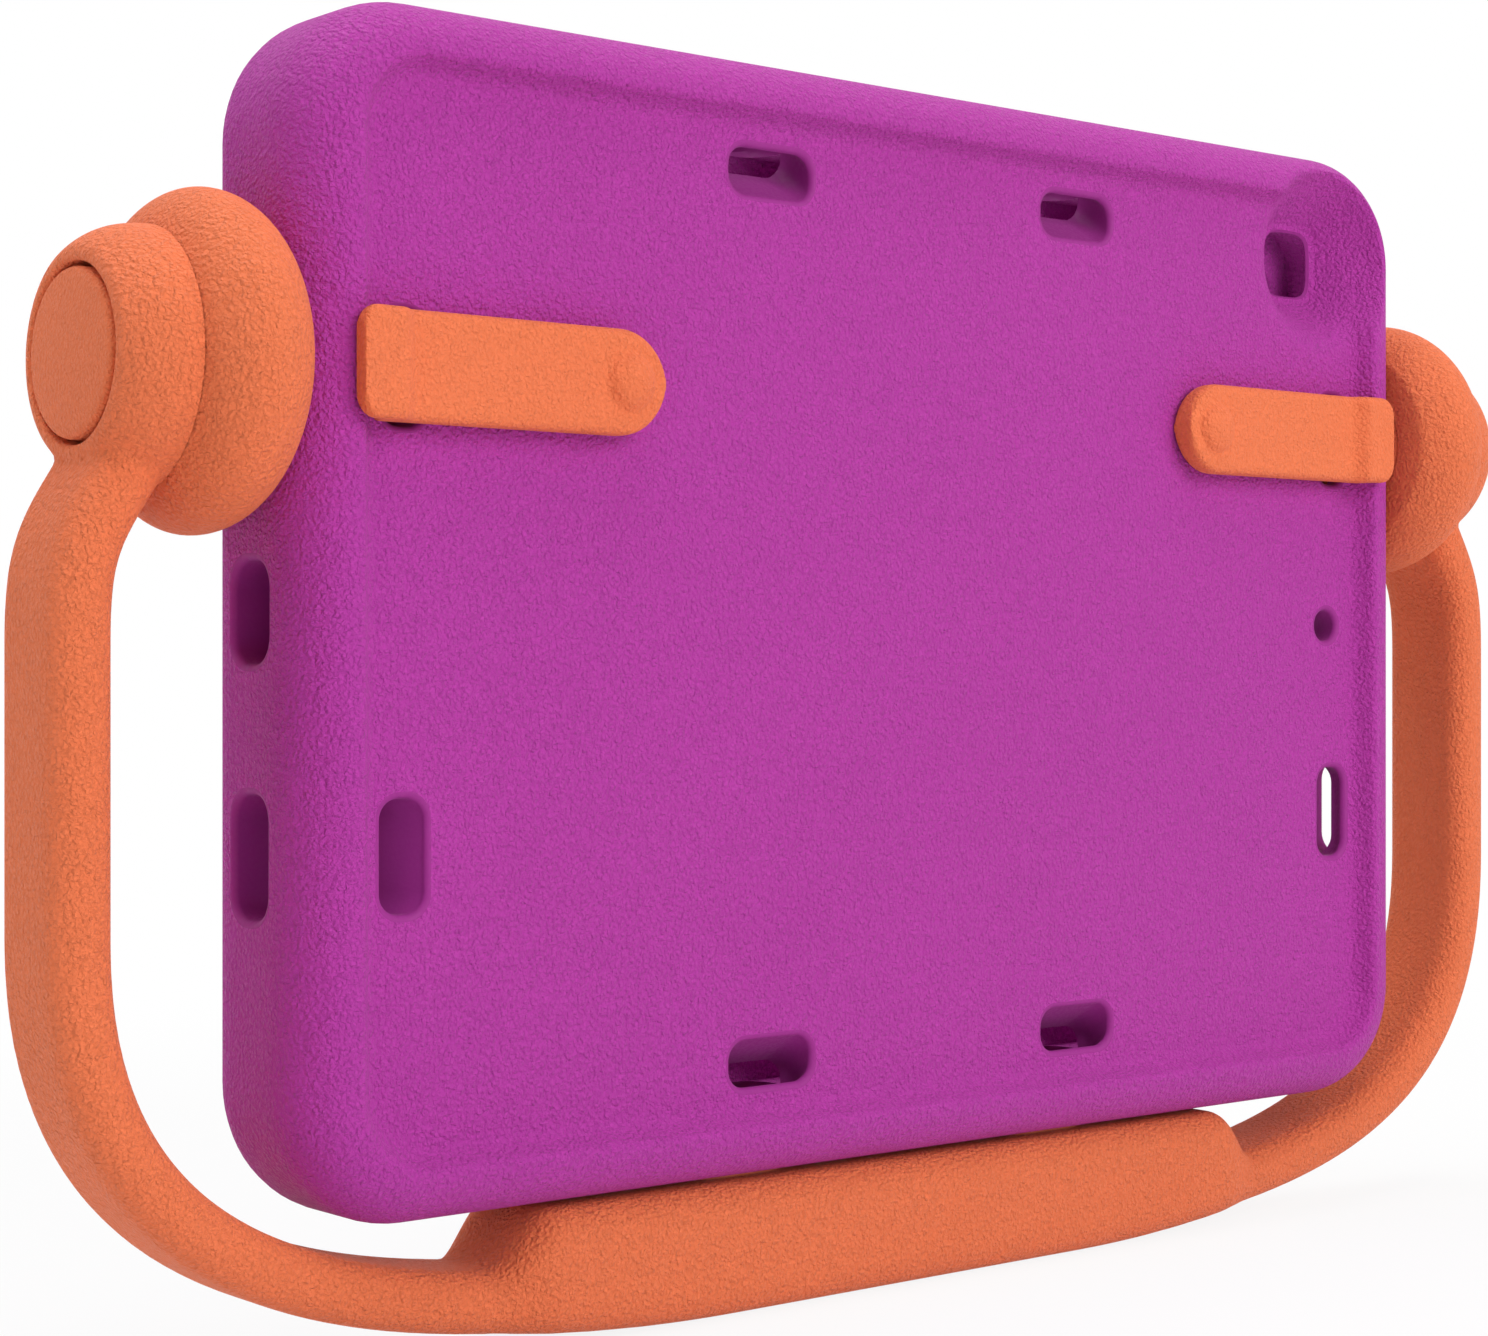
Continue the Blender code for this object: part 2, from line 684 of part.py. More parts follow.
def grip_ring(x):
    """A ring round the grip at this distance from the middle. Past its shoulder it narrows to the arm."""
    share = smooth_step((x - GRIP_SHOULDER) / (GRIP_END - GRIP_SHOULDER))
    run = max(x - GRIP_FOOT, 0) / (GRIP_END - GRIP_FOOT)
    upper = between(GRIP_THICKNESS, FOOT_LIFT + ARM_AT_GRIP, share) - PIVOT_Z
    lower = FOOT_LIFT * run * run - PIVOT_Z
    depth = between(GRIP_DEPTH, ARM_DEPTH, share)
    half = (upper - lower) / 2
    top_round = between(GRIP_ROUND, ARM_ROUND, share)
    foot_round = between(min(depth / 2 - foot_half(x), ROUND_LIMIT * half), ARM_ROUND, share)
    top = rounded_rectangle(depth / 2, half, top_round, SLOT_STEPS)
    foot = rounded_rectangle(depth / 2, half, foot_round, SLOT_STEPS)
    outline = [low if low[1] > 0 else high for low, high in zip(foot, top)]
    return [Vector((x, a, (upper + lower) / 2 - b)) for a, b in outline]


def arm_ring(place, way, thick):
    """A ring across the arm, which runs this way at this place."""
    across = Vector((-way.y, way.x))
    ring = []
    for a, b in rounded_rectangle(ARM_DEPTH / 2, thick, ARM_ROUND, SLOT_STEPS):
        spot = place + across * b
        ring.append(Vector((spot.x, a, spot.y)))
    return ring


def handle_mesh():
    rings = []
    stations = handle_stations()
    for i, (place, thick) in enumerate(stations[:-1]):
        before = stations[max(i - 1, 0)][0]
        after = stations[i + 1][0]
        rings.append(arm_ring(place, (after - before).normalized(), thick))
    for step in range(SHOULDER_STEPS):
        rings.append(grip_ring(between(GRIP_END, GRIP_SHOULDER, step / SHOULDER_STEPS)))
    for step in range(RISE_STEPS):
        rings.append(grip_ring(between(GRIP_SHOULDER, GRIP_FOOT, step / RISE_STEPS)))
    for step in range(FOOT_STEPS):
        rings.append(grip_ring(GRIP_FOOT * cos(pi / 2 * step / FOOT_STEPS) ** (1 / 3)))
    other = [[Vector((-point.x, point.y, point.z)) for point in ring] for ring in rings[::-1]]
    return closed_mesh("handle", loft(rings + other))


def make_handle(parts, cutters, foam, pivot):
    handle = add_object("handle", handle_mesh(), parts, foam)
    hub = hub_mesh()
    bore = hub_bore_mesh()
    for name, mesh, operation in (("hub", hub, "UNION"), ("bore", bore, "DIFFERENCE")):
        for side, data in (("right", mesh), ("left", mirrored(mesh, name))):
            tool = add_object(f"{name}_{side}", data.copy(), cutters)
            tool.parent = pivot
            combine(handle, tool, operation)
    handle.parent = pivot
    return handle


def strap_section(out, half_width, low, high, radius):
    """A ring across the strap at this distance out, from low to high above the rear panel."""
    middle = (low + high) / 2
    half = (high - low) / 2
    ring = []
    round_off = min(radius, half * ROUND_LIMIT, half_width * ROUND_LIMIT)
    for a, b in rounded_rectangle(half_width, half, round_off, SLOT_STEPS):
        ring.append(Vector((out, PANEL_Y - middle - b, a)))
    return ring


def strap_bar():
    """The bar from its half-round tip to the thick block that stands over the rim."""
    half = STRAP_WIDTH / 2
    outer = SHELL_X - STRAP_OVERHANG
    tip = SHELL_X - STRAP_REACH
    wall = SHELL_X - RIM_SIDE
    low = FIT
    high = FIT + STRAP_THICKNESS
    block = high + BLOCK_RISE
    rim = REAR_RIM + FIT
    edge = STRAP_EDGE
    rings = []
    for step in range(1, TIP_STEPS + 1):
        angle = pi / 2 * step / TIP_STEPS
        width = half * sin(angle)
        drop = edge * max(0, 1 - step / 2)
        rings.append(strap_section(tip + half * (1 - cos(angle)), width, low, high - drop, edge))
    step_out = outer - BLOCK_LENGTH
    for share in (-0.5, 0.0, 0.5):
        rise = BLOCK_RISE * smooth_step(share + 0.5)
        rings.append(strap_section(step_out + BLOCK_STEP * share, half, low, high + rise, edge))
    rings.append(strap_section(wall - RECESS_FILLET, half, low, block, edge))
    rings.append(strap_section(wall - 2 * FIT, half, low + RECESS_FILLET / 2, block, edge))
    rings.append(strap_section(wall - FIT, half, rim, block, edge))
    rings.append(strap_section(outer - edge, half, rim, block, edge))
    rings.append(strap_section(outer - edge / 3, half - edge / 3, rim, block - edge / 3, edge))
    rings.append(strap_section(outer, half - edge, rim + FIT, block - edge, edge))
    return closed_mesh("strap_bar", loft(rings))


def tongue():
    """The tongue, which follows the slot round the tablet's edge to the plate outside the wall."""
    half = TONGUE_THICKNESS / 2
    rear = SHELL_X - REAR_MOUTH_INSET
    elbow = SHELL_X - ELBOW_INSET
    # How far each ring's middle lies towards the slot's outer side
    rear_shift = REAR_MOUTH[1] / 2 - half - 3 * FIT
    elbow_shift = WALL_MOUTH[1] / 2 - half - 2 * FIT
    rings = []
    for depth in (-STRAP_THICKNESS / 2, MOUTH_BEVEL):
        rings.append([(rear + rear_shift + b, PANEL_Y + depth) for b in (-half, half)])
    rings.append([(elbow + ELBOW_TILT * (elbow_shift + b), -elbow_shift - b) for b in (-half, half)])
    rings.append([(SHELL_X - MOUTH_BEVEL, -b) for b in (-half, half)])
    rings.append([(PLATE_OUT + PLATE_THICKNESS / 2, -b) for b in (-half, half)])
    wide = TONGUE_WIDTH / 2
    solid = []
    for near, far in rings:
        corners = ((near, wide), (far, wide), (far, -wide), (near, -wide))
        solid.append([Vector((x, y, z)) for (x, y), z in corners])
    return closed_mesh("tongue", loft(solid))


def upright_turned(name, profile, x, y):
    """A mesh turned about an axis along Y through (x, y), its heights pointing away from the panel."""
    mesh = turned(name, profile, SMALL_TURN_STEPS)
    mesh.transform(Matrix.Rotation(-pi / 2, 4, "Z"))
    mesh.transform(Matrix.Translation((x, y, 0)))
    return mesh


def strap_mesh(cutters):
    """The strap as one moulding: bar, dome, peg, tongue and the plate that the pivot is built on."""
    top = FIT + STRAP_THICKNESS
    base = DOME_WIDTH / 2
    sphere = (base * base + DOME_RISE * DOME_RISE) / (2 * DOME_RISE)
    sunk = sqrt(sphere * sphere - (sphere - DOME_RISE - FIT) ** 2)
    dome = []
    for step in range(DOME_STEPS + 1):
        radius = sunk * step / DOME_STEPS
        dome.append((radius, top + DOME_RISE - sphere + sqrt(sphere * sphere - radius * radius)))
    dome += [(sunk, top - 2 * FIT), (0, top - 2 * FIT)]
    peg = PEG_WIDTH / 2
    peg_profile = [(0, 2 * FIT), (peg, 2 * FIT), (peg, -PEG_LENGTH), (0, -PEG_LENGTH)]
    plate = PLATE_WIDTH / 2
    plate_profile = [
        (0, PLATE_OUT + PLATE_THICKNESS),
        (plate, PLATE_OUT + PLATE_THICKNESS),
        (plate, PLATE_OUT),
        (0, PLATE_OUT),
    ]
    tools = (
        tongue(),
        upright_turned("dome", dome, PEG_OUT, PANEL_Y),
        upright_turned("peg", peg_profile, PEG_OUT, PANEL_Y),
        turned("plate", plate_profile),
    )
    strap = add_object("strap", strap_bar(), cutters)
    for mesh in tools:
        combine(strap, add_object(mesh.name, mesh, cutters), "UNION")
    return apply_modifiers(strap)


def main():
    clear_scene()
    parts = new_collection("kids_tablet_case")
    cutters = new_collection("cutters")
    shell_foam = new_material("magenta_foam", (0.56, 0.06, 0.42), 0.62)
    handle_foam = new_material("orange_foam", (0.95, 0.22, 0.07), 0.6)
    anchor_rubber = new_material("orange_rubber", (0.93, 0.2, 0.06), 0.55)
    black_plastic = new_material("black_plastic", (0.02, 0.02, 0.022), 0.4)
    steel = new_material("screw_steel", (0.6, 0.6, 0.6), 0.3, 1.0)

    pivot = bpy.data.objects.new("handle_pivot", None)
    pivot.location = (0, 0, PIVOT_Z)
    parts.objects.link(pivot)
    anchor = bpy.data.objects.new("anchor", None)
    anchor.location = (0, 0, PIVOT_Z)
    parts.objects.link(anchor)

    make_shell(parts, cutters, shell_foam)
    make_handle(parts, cutters, handle_foam, pivot)

    pieces = (
        ("pivot_flange", flange_mesh(), handle_foam, anchor),
        ("clip_strap", strap_mesh(cutters), anchor_rubber, anchor),
        ("axle", axle_mesh(), black_plastic, anchor),
        ("hub_bush", bush_mesh(), black_plastic, pivot),
        ("retaining_washer", washer_mesh(), black_plastic, anchor),
        ("axle_screw", screw_mesh(), steel, anchor),
        ("hub_cap", cap_mesh(), handle_foam, anchor),
    )
    for name, mesh, material, parent in pieces:
        for side, data in (("right", mesh), ("left", mirrored(mesh, name))):
            obj = add_object(f"{side}_{name}", data, parts, material)
            obj.parent = parent


main()
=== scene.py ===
# %% [markdown]
# # A foam tablet case with a turning handle
#
# The imported model gives the real sizes and the one joint. This lesson dresses it: each soft, moulded piece
# is built again as a fine mesh in the same place, and gets a procedural foam finish. We begin by loading the
# imported model, which stays where it is.

# %% Load the imported model
import json
from math import asin, cos, hypot, pi, radians, sin, sqrt

import bmesh
import bpy
from mathutils import Matrix, Vector


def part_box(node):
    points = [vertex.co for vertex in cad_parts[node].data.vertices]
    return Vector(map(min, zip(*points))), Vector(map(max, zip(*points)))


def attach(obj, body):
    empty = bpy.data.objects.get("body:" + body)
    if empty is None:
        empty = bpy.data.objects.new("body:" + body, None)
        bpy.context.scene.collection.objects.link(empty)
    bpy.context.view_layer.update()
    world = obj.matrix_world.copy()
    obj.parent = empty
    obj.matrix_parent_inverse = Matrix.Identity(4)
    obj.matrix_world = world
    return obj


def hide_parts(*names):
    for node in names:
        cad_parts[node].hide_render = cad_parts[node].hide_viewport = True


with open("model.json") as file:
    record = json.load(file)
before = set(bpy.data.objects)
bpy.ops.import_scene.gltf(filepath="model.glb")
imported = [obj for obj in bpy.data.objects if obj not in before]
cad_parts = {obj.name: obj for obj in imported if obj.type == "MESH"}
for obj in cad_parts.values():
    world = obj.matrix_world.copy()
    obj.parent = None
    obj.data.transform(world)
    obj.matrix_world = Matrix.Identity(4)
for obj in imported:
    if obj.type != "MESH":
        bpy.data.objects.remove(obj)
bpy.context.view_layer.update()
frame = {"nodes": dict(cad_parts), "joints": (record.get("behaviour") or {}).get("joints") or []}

MM = 0.001

# %% [markdown]
# ## Sizes from the frame
#
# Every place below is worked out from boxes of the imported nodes, so a piece built here lands on its solid.
# The case lies with its long side along X, its rear looks along -Y, and the handle turns about X.

# %% Read the main places
shell_low, shell_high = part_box("case_shell")
SHELL_X = shell_high.x
SHELL_Z = (shell_high.z - shell_low.z) / 2
CASE_Z = (shell_high.z + shell_low.z) / 2
CREST_Y = shell_low.y
FRONT_Y = shell_high.y
PIVOT_Z = frame["joints"][0]["pos_m"][2]
SLOT_UP = PIVOT_Z - CASE_Z
print("shell half sizes:", round(SHELL_X / MM, 1), round(SHELL_Z / MM, 1), "mm")

# %% [markdown]
# ## The camera
#
# The photograph was taken level with the case and 39.5 degrees round from its rear, with a long lens. Solving
# its perspective against the known tablet size gave the place and the focal length written here.

# %% Set the camera
CAMERA_PLACE = (-380.4 * MM, -418.9 * MM, 118.45 * MM)
CAMERA_TURN = radians(39.5)
CAMERA_LENS = 69.92

camera_data = bpy.data.cameras.new("camera")
camera_data.lens = CAMERA_LENS
camera_data.sensor_width = 36.0
camera = bpy.data.objects.new("camera", camera_data)
camera.location = CAMERA_PLACE
camera.rotation_euler = (pi / 2, 0, -CAMERA_TURN)
bpy.context.scene.collection.objects.link(camera)
bpy.context.scene.camera = camera
bpy.context.scene.view_settings.view_transform = "Standard"
print("camera at", [round(c / MM, 1) for c in camera.location], "mm")

# %% [markdown]
# ## Soft studio light
#
# One large lamp over the rear panel gives the main light, a second from above brightens the rim, and a weak
# one behind the left side draws the pale edge of the wall. The world fills the shadows evenly. It would look
# grey to the camera at that strength, so camera and glossy rays see plain white instead.

# %% Light the scene
AMBIENT = 0.26
LAMPS = {
    "panel_lamp": {"place": (0.35, -1.5, 0.9), "size": 1.3, "power": 18.2},
    "top_lamp": {"place": (-0.2, 0.1, 1.5), "size": 1.4, "power": 15.0},
    "edge_lamp": {"place": (-1.3, 0.7, 0.9), "size": 0.9, "power": 4.0},
}

scene_centre = Vector((0, 0, CASE_Z))
for name, lamp in LAMPS.items():
    data = bpy.data.lights.new(name, "AREA")
    data.shape = "DISK"
    data.size = lamp["size"]
    data.energy = lamp["power"]
    light = bpy.data.objects.new(name, data)
    light.location = lamp["place"]
    light.rotation_euler = (scene_centre - light.location).to_track_quat("-Z", "Y").to_euler()
    bpy.context.scene.collection.objects.link(light)


def seen_directly(tree):
    """A value that is 1 for rays from the camera, or by way of gloss or glass, and 0 for the rest."""
    path = tree.nodes.new("ShaderNodeLightPath")
    total = path.outputs["Is Camera Ray"]
    for kind in ("Is Glossy Ray", "Is Transmission Ray"):
        both = tree.nodes.new("ShaderNodeMath")
        both.operation = "MAXIMUM"
        tree.links.new(total, both.inputs[0])
        tree.links.new(path.outputs[kind], both.inputs[1])
        total = both.outputs[0]
    return total


world = bpy.data.worlds.new("studio")
bpy.context.scene.world = world
world.use_nodes = True
tree = world.node_tree
tree.nodes.clear()
fill = tree.nodes.new("ShaderNodeBackground")
fill.inputs["Strength"].default_value = AMBIENT
plain = tree.nodes.new("ShaderNodeBackground")
for background in (fill, plain):
    background.inputs["Color"].default_value = (1, 1, 1, 1)
choice = tree.nodes.new("ShaderNodeMixShader")
tree.links.new(seen_directly(tree), choice.inputs[0])
tree.links.new(fill.outputs[0], choice.inputs[1])
tree.links.new(plain.outputs[0], choice.inputs[2])
tree.links.new(choice.outputs[0], tree.nodes.new("ShaderNodeOutputWorld").inputs["Surface"])
print("lamps:", ", ".join(LAMPS))

# %% [markdown]
# ## The floor
#
# A wide pale sheet. Most of what the camera sees of it is plain white from an emission, and the rest is its
# own lit surface, which keeps a soft shadow under the grip. Away from the grip the share of plain white
# grows to the whole, so that the floor has no edge.

# %% Lay the floor
FLOOR_WIDTH = 8.0
FLOOR_GAP = 0.2 * MM
FLOOR_WHITE = 0.88
FLOOR_FADE = (0.24, 0.55)
FLOOR_TONE = (0.9, 0.9, 0.9)

bpy.ops.mesh.primitive_plane_add(size=FLOOR_WIDTH, location=(0, 0, -FLOOR_GAP))
floor = bpy.context.object
floor.name = "floor"
floor_material = bpy.data.materials.new("pale_floor")
floor_material.use_nodes = True
tree = floor_material.node_tree
surface = tree.nodes["Principled BSDF"]
surface.inputs["Base Color"].default_value = (*FLOOR_TONE, 1)
surface.inputs["Roughness"].default_value = 0.8
white = tree.nodes.new("ShaderNodeEmission")
white.inputs["Strength"].default_value = 1.0
reach = tree.nodes.new("ShaderNodeVectorMath")
reach.operation = "LENGTH"
tree.links.new(tree.nodes.new("ShaderNodeTexCoord").outputs["Object"], reach.inputs[0])
fade = tree.nodes.new("ShaderNodeMapRange")
fade.interpolation_type = "SMOOTHSTEP"
fade.inputs["From Min"].default_value = FLOOR_FADE[0]
fade.inputs["From Max"].default_value = FLOOR_FADE[1]
fade.inputs["To Min"].default_value = FLOOR_WHITE
tree.links.new(reach.outputs["Value"], fade.inputs["Value"])
share = tree.nodes.new("ShaderNodeMath")
share.operation = "MULTIPLY"
tree.links.new(fade.outputs["Result"], share.inputs[1])
blend = tree.nodes.new("ShaderNodeMixShader")
tree.links.new(seen_directly(tree), share.inputs[0])
tree.links.new(share.outputs[0], blend.inputs[0])
tree.links.new(surface.outputs[0], blend.inputs[1])
tree.links.new(white.outputs[0], blend.inputs[2])
tree.links.new(blend.outputs[0], tree.nodes["Material Output"].inputs["Surface"])
floor.data.materials.append(floor_material)

# %% [markdown]
# ## Two effects that the foams share
#
# The mould leaves a fine leathery grain on every outer face: small soft pebbles, pulled about so that they
# look like short wrinkles. It is a node group, because the magenta foam, the orange foam, the straps and the
# caps all have it at their own size. The group puts out a height for bumps and a mask of the low places. A
# second group gives the faint, slow drift of tone that a large foam moulding has, and paints shade into the
# grain's low places, mixing them a little towards a deeper colour.

# %% Build the grain group


def new_group(name, inputs, outputs):
    """An empty shader group with these sockets, given as name to (kind, default)."""
    group = bpy.data.node_groups.new(name, "ShaderNodeTree")
    for socket, (kind, default) in inputs.items():
        made = group.interface.new_socket(socket, in_out="INPUT", socket_type=kind)
        if default is not None:
            made.default_value = default
    for socket, kind in outputs.items():
        group.interface.new_socket(socket, in_out="OUTPUT", socket_type=kind)
    return group, group.nodes.new("NodeGroupInput"), group.nodes.new("NodeGroupOutput")


def math_node(tree, operation, first, second):
    """A maths node whose inputs are sockets or plain numbers. It returns the result's socket."""
    node = tree.nodes.new("ShaderNodeMath")
    node.operation = operation
    for socket, value in zip(node.inputs, (first, second)):
        if isinstance(value, (int, float)):
            socket.default_value = value
        else:
            tree.links.new(value, socket)
    return node.outputs[0]


def vector_math(tree, operation, first, second):
    """The same for vectors. A second value that scales may be a socket."""
    node = tree.nodes.new("ShaderNodeVectorMath")
    node.operation = operation
    tree.links.new(first, node.inputs[0])
    target = node.inputs["Scale"] if operation == "SCALE" else node.inputs[1]
    if isinstance(second, (int, float, tuple)):
        target.default_value = second
    else:
        tree.links.new(second, target)
    return node.outputs[0]


WARP_SHARE = 0.55
PEBBLE_SHARE = 0.5

grain, grain_in, grain_out = new_group(
    "moulded_grain",
    {"Vector": ("NodeSocketVector", None), "Cells per Metre": ("NodeSocketFloat", 900.0)},
    {"Height": "NodeSocketFloat", "Low Places": "NodeSocketFloat"},
)
scaled = vector_math(grain, "SCALE", grain_in.outputs["Vector"], grain_in.outputs["Cells per Metre"])
wander = grain.nodes.new("ShaderNodeTexNoise")
wander.inputs["Scale"].default_value = 0.8
wander.inputs["Detail"].default_value = 2.0
grain.links.new(scaled, wander.inputs["Vector"])
centred = vector_math(grain, "SUBTRACT", wander.outputs["Color"], (0.5, 0.5, 0.5))
pulled = vector_math(grain, "ADD", scaled, vector_math(grain, "SCALE", centred, 2 * WARP_SHARE))
pebbles = grain.nodes.new("ShaderNodeTexVoronoi")
pebbles.feature = "SMOOTH_F1"
pebbles.inputs["Scale"].default_value = 0.75
pebbles.inputs["Smoothness"].default_value = 0.6
wrinkles = grain.nodes.new("ShaderNodeTexNoise")
wrinkles.inputs["Scale"].default_value = 1.1
wrinkles.inputs["Detail"].default_value = 2.5
wrinkles.inputs["Roughness"].default_value = 0.5
wrinkles.inputs["Distortion"].default_value = 0.8
grain.links.new(pulled, pebbles.inputs["Vector"])
grain.links.new(pulled, wrinkles.inputs["Vector"])
domes = math_node(grain, "SUBTRACT", 1.0, pebbles.outputs["Distance"])
height = math_node(
    grain,
    "ADD",
    math_node(grain, "MULTIPLY", domes, PEBBLE_SHARE),
    math_node(grain, "MULTIPLY", wrinkles.outputs["Fac"], 1 - PEBBLE_SHARE),
)
grain.links.new(height, grain_out.inputs["Height"])
low = grain.nodes.new("ShaderNodeMapRange")
low.interpolation_type = "SMOOTHSTEP"
low.inputs["From Min"].default_value = 0.6
low.inputs["From Max"].default_value = 0.42
grain.links.new(height, low.inputs["Value"])
grain.links.new(low.outputs["Result"], grain_out.inputs["Low Places"])

# %% Build the drift group, which also paints shade into the grain's low places
drift, drift_in, drift_out = new_group(
    "tone_drift_and_pit_shade",
    {
        "Vector": ("NodeSocketVector", None),
        "Low Places": ("NodeSocketFloat", 0.0),
        "Color": ("NodeSocketColor", (0.5, 0.5, 0.5, 1.0)),
        "Deep Color": ("NodeSocketColor", (0.2, 0.2, 0.2, 1.0)),
        "Depth": ("NodeSocketFloat", 0.07),
    },
    {"Color": "NodeSocketColor", "Roughness": "NodeSocketFloat"},
)
clouds = drift.nodes.new("ShaderNodeTexNoise")
clouds.inputs["Scale"].default_value = 22.0
clouds.inputs["Detail"].default_value = 3.0
drift.links.new(drift_in.outputs["Vector"], clouds.inputs["Vector"])
slow = drift.nodes.new("ShaderNodeMapRange")
slow.inputs["From Min"].default_value = 0.3
slow.inputs["From Max"].default_value = 0.7
slow.inputs["To Max"].default_value = 0.08
drift.links.new(clouds.outputs["Fac"], slow.inputs["Value"])
# Painted shade: the grain's low places are mixed a little towards the deep colour, as if shade lay in them.
pit_shade = math_node(drift, "MULTIPLY", drift_in.outputs["Low Places"], drift_in.outputs["Depth"])
amount = math_node(drift, "ADD", pit_shade, slow.outputs["Result"])
tone = drift.nodes.new("ShaderNodeMix")
tone.data_type = "RGBA"
drift.links.new(amount, tone.inputs["Factor"])
drift.links.new(drift_in.outputs["Color"], tone.inputs[6])
drift.links.new(drift_in.outputs["Deep Color"], tone.inputs[7])
drift.links.new(tone.outputs[2], drift_out.inputs["Color"])
rough = drift.nodes.new("ShaderNodeMapRange")
rough.inputs["To Min"].default_value = 0.52
rough.inputs["To Max"].default_value = 0.68
drift.links.new(drift_in.outputs["Low Places"], rough.inputs["Value"])
drift.links.new(rough.outputs["Result"], drift_out.inputs["Roughness"])
print("groups:", grain.name, drift.name)

# %% [markdown]
# ## The foams
#
# Foam with a moulded skin is matt, and pale light catches on its grain where the face turns away. A little
# sheen on the shader does that. Each foam takes its own colours, grain size and depth. The slots' inner walls
# were cored by smooth pins in the mould. They have hardly any grain, and their colour is a darker magenta,
# painted shade for the dim light deep in the slots.

# %% Make the materials
GRAIN_CELLS = 1700.0
GRAIN_DEPTH = 1.4 * MM
STRAP_CELLS = 2000.0
CAP_CELLS = 2200.0
FINE_DEPTH = 1.0 * MM
CORE_DEPTH = 0.04 * MM
SHEEN = 0.06
SPECULAR = 0.2
PINK_SHEEN = (1, 0.85, 0.95)
PEACH_SHEEN = (1, 0.9, 0.85)


def foam(name, colour, deep, sheen_tint, cells=GRAIN_CELLS, depth=GRAIN_DEPTH):
    """A matt foam with the shared grain, drift and painted shade in the grain's low places. Cells are per
    metre, and depth is in metres.
    """
    material = bpy.data.materials.new(name)
    material.use_nodes = True
    tree = material.node_tree
    shader = tree.nodes["Principled BSDF"]
    shader.inputs["Sheen Weight"].default_value = SHEEN
    shader.inputs["Sheen Roughness"].default_value = 0.45
    shader.inputs["Sheen Tint"].default_value = (*sheen_tint, 1)
    shader.inputs["Specular IOR Level"].default_value = SPECULAR
    place = tree.nodes.new("ShaderNodeTexCoord").outputs["Object"]
    grain_node = tree.nodes.new("ShaderNodeGroup")
    grain_node.node_tree = grain
    grain_node.inputs["Cells per Metre"].default_value = cells
    drift_node = tree.nodes.new("ShaderNodeGroup")
    drift_node.node_tree = drift
    drift_node.inputs["Color"].default_value = (*colour, 1)
    drift_node.inputs["Deep Color"].default_value = (*deep, 1)
    bump = tree.nodes.new("ShaderNodeBump")
    bump.inputs["Distance"].default_value = depth
    tree.links.new(place, grain_node.inputs["Vector"])
    tree.links.new(place, drift_node.inputs["Vector"])
    tree.links.new(grain_node.outputs["Low Places"], drift_node.inputs["Low Places"])
    tree.links.new(grain_node.outputs["Height"], bump.inputs["Height"])
    tree.links.new(drift_node.outputs["Color"], shader.inputs["Base Color"])
    tree.links.new(drift_node.outputs["Roughness"], shader.inputs["Roughness"])
    tree.links.new(bump.outputs["Normal"], shader.inputs["Normal"])
    return material


MAGENTA = (0.53, 0.045, 0.41)
# Each deep colour is where the tone drifts at random, and also the painted shade in the grain's low places.
MAGENTA_DEEP = (0.32, 0.015, 0.24)
# The slots' colour is the magenta darkened as painted shade, for the dim light deep inside them.
SLOT_SHADE_MAGENTA = (0.33, 0.027, 0.25)
ORANGE = (0.98, 0.225, 0.085)
ORANGE_DEEP = (0.62, 0.085, 0.02)

magenta_foam = foam("magenta_foam", MAGENTA, MAGENTA_DEEP, PINK_SHEEN)
# The slots' walls: the same foam with almost no grain, and its darker colour is painted shade.
magenta_core_painted_shade = foam("magenta_core_painted_shade", SLOT_SHADE_MAGENTA, MAGENTA_DEEP, PINK_SHEEN, depth=CORE_DEPTH)
orange_foam = foam("orange_foam", ORANGE, ORANGE_DEEP, PEACH_SHEEN)
cap_foam = foam("cap_foam", ORANGE, ORANGE_DEEP, PEACH_SHEEN, CAP_CELLS, FINE_DEPTH)
strap_rubber = foam("strap_rubber", ORANGE, ORANGE_DEEP, PEACH_SHEEN, STRAP_CELLS, FINE_DEPTH)
print("foams:", magenta_foam.name, magenta_core_painted_shade.name, orange_foam.name, cap_foam.name, strap_rubber.name)

# %% [markdown]
# ### The small hardware
#
# The pins and screws inside the pivots are black plastic and bright steel. Their gloss isn't even: fine
# noise moves the roughness a little up and down.

# %% Make the hardware's materials
GLOSS_SPREAD = 0.08


def hardware(name, colour, roughness, metallic, scratch_scale):
    """A hard material whose gloss is broken up by fine noise, for plastic and steel."""
    material = bpy.data.materials.new(name)
    material.use_nodes = True
    tree = material.node_tree
    shader = tree.nodes["Principled BSDF"]
    shader.inputs["Base Color"].default_value = (*colour, 1)
    shader.inputs["Metallic"].default_value = metallic
    noise = tree.nodes.new("ShaderNodeTexNoise")
    noise.inputs["Scale"].default_value = scratch_scale
    noise.inputs["Detail"].default_value = 4.0
    tree.links.new(tree.nodes.new("ShaderNodeTexCoord").outputs["Object"], noise.inputs["Vector"])
    spread = tree.nodes.new("ShaderNodeMapRange")
    spread.inputs["To Min"].default_value = roughness - GLOSS_SPREAD
    spread.inputs["To Max"].default_value = roughness + GLOSS_SPREAD
    tree.links.new(noise.outputs["Fac"], spread.inputs["Value"])
    tree.links.new(spread.outputs["Result"], shader.inputs["Roughness"])
    return material


black_plastic = hardware("black_plastic", (0.02, 0.02, 0.022), 0.42, 0.0, 900.0)
screw_steel = hardware("screw_steel", (0.6, 0.6, 0.6), 0.3, 1.0, 2500.0)
print("materials:", len(bpy.data.materials))

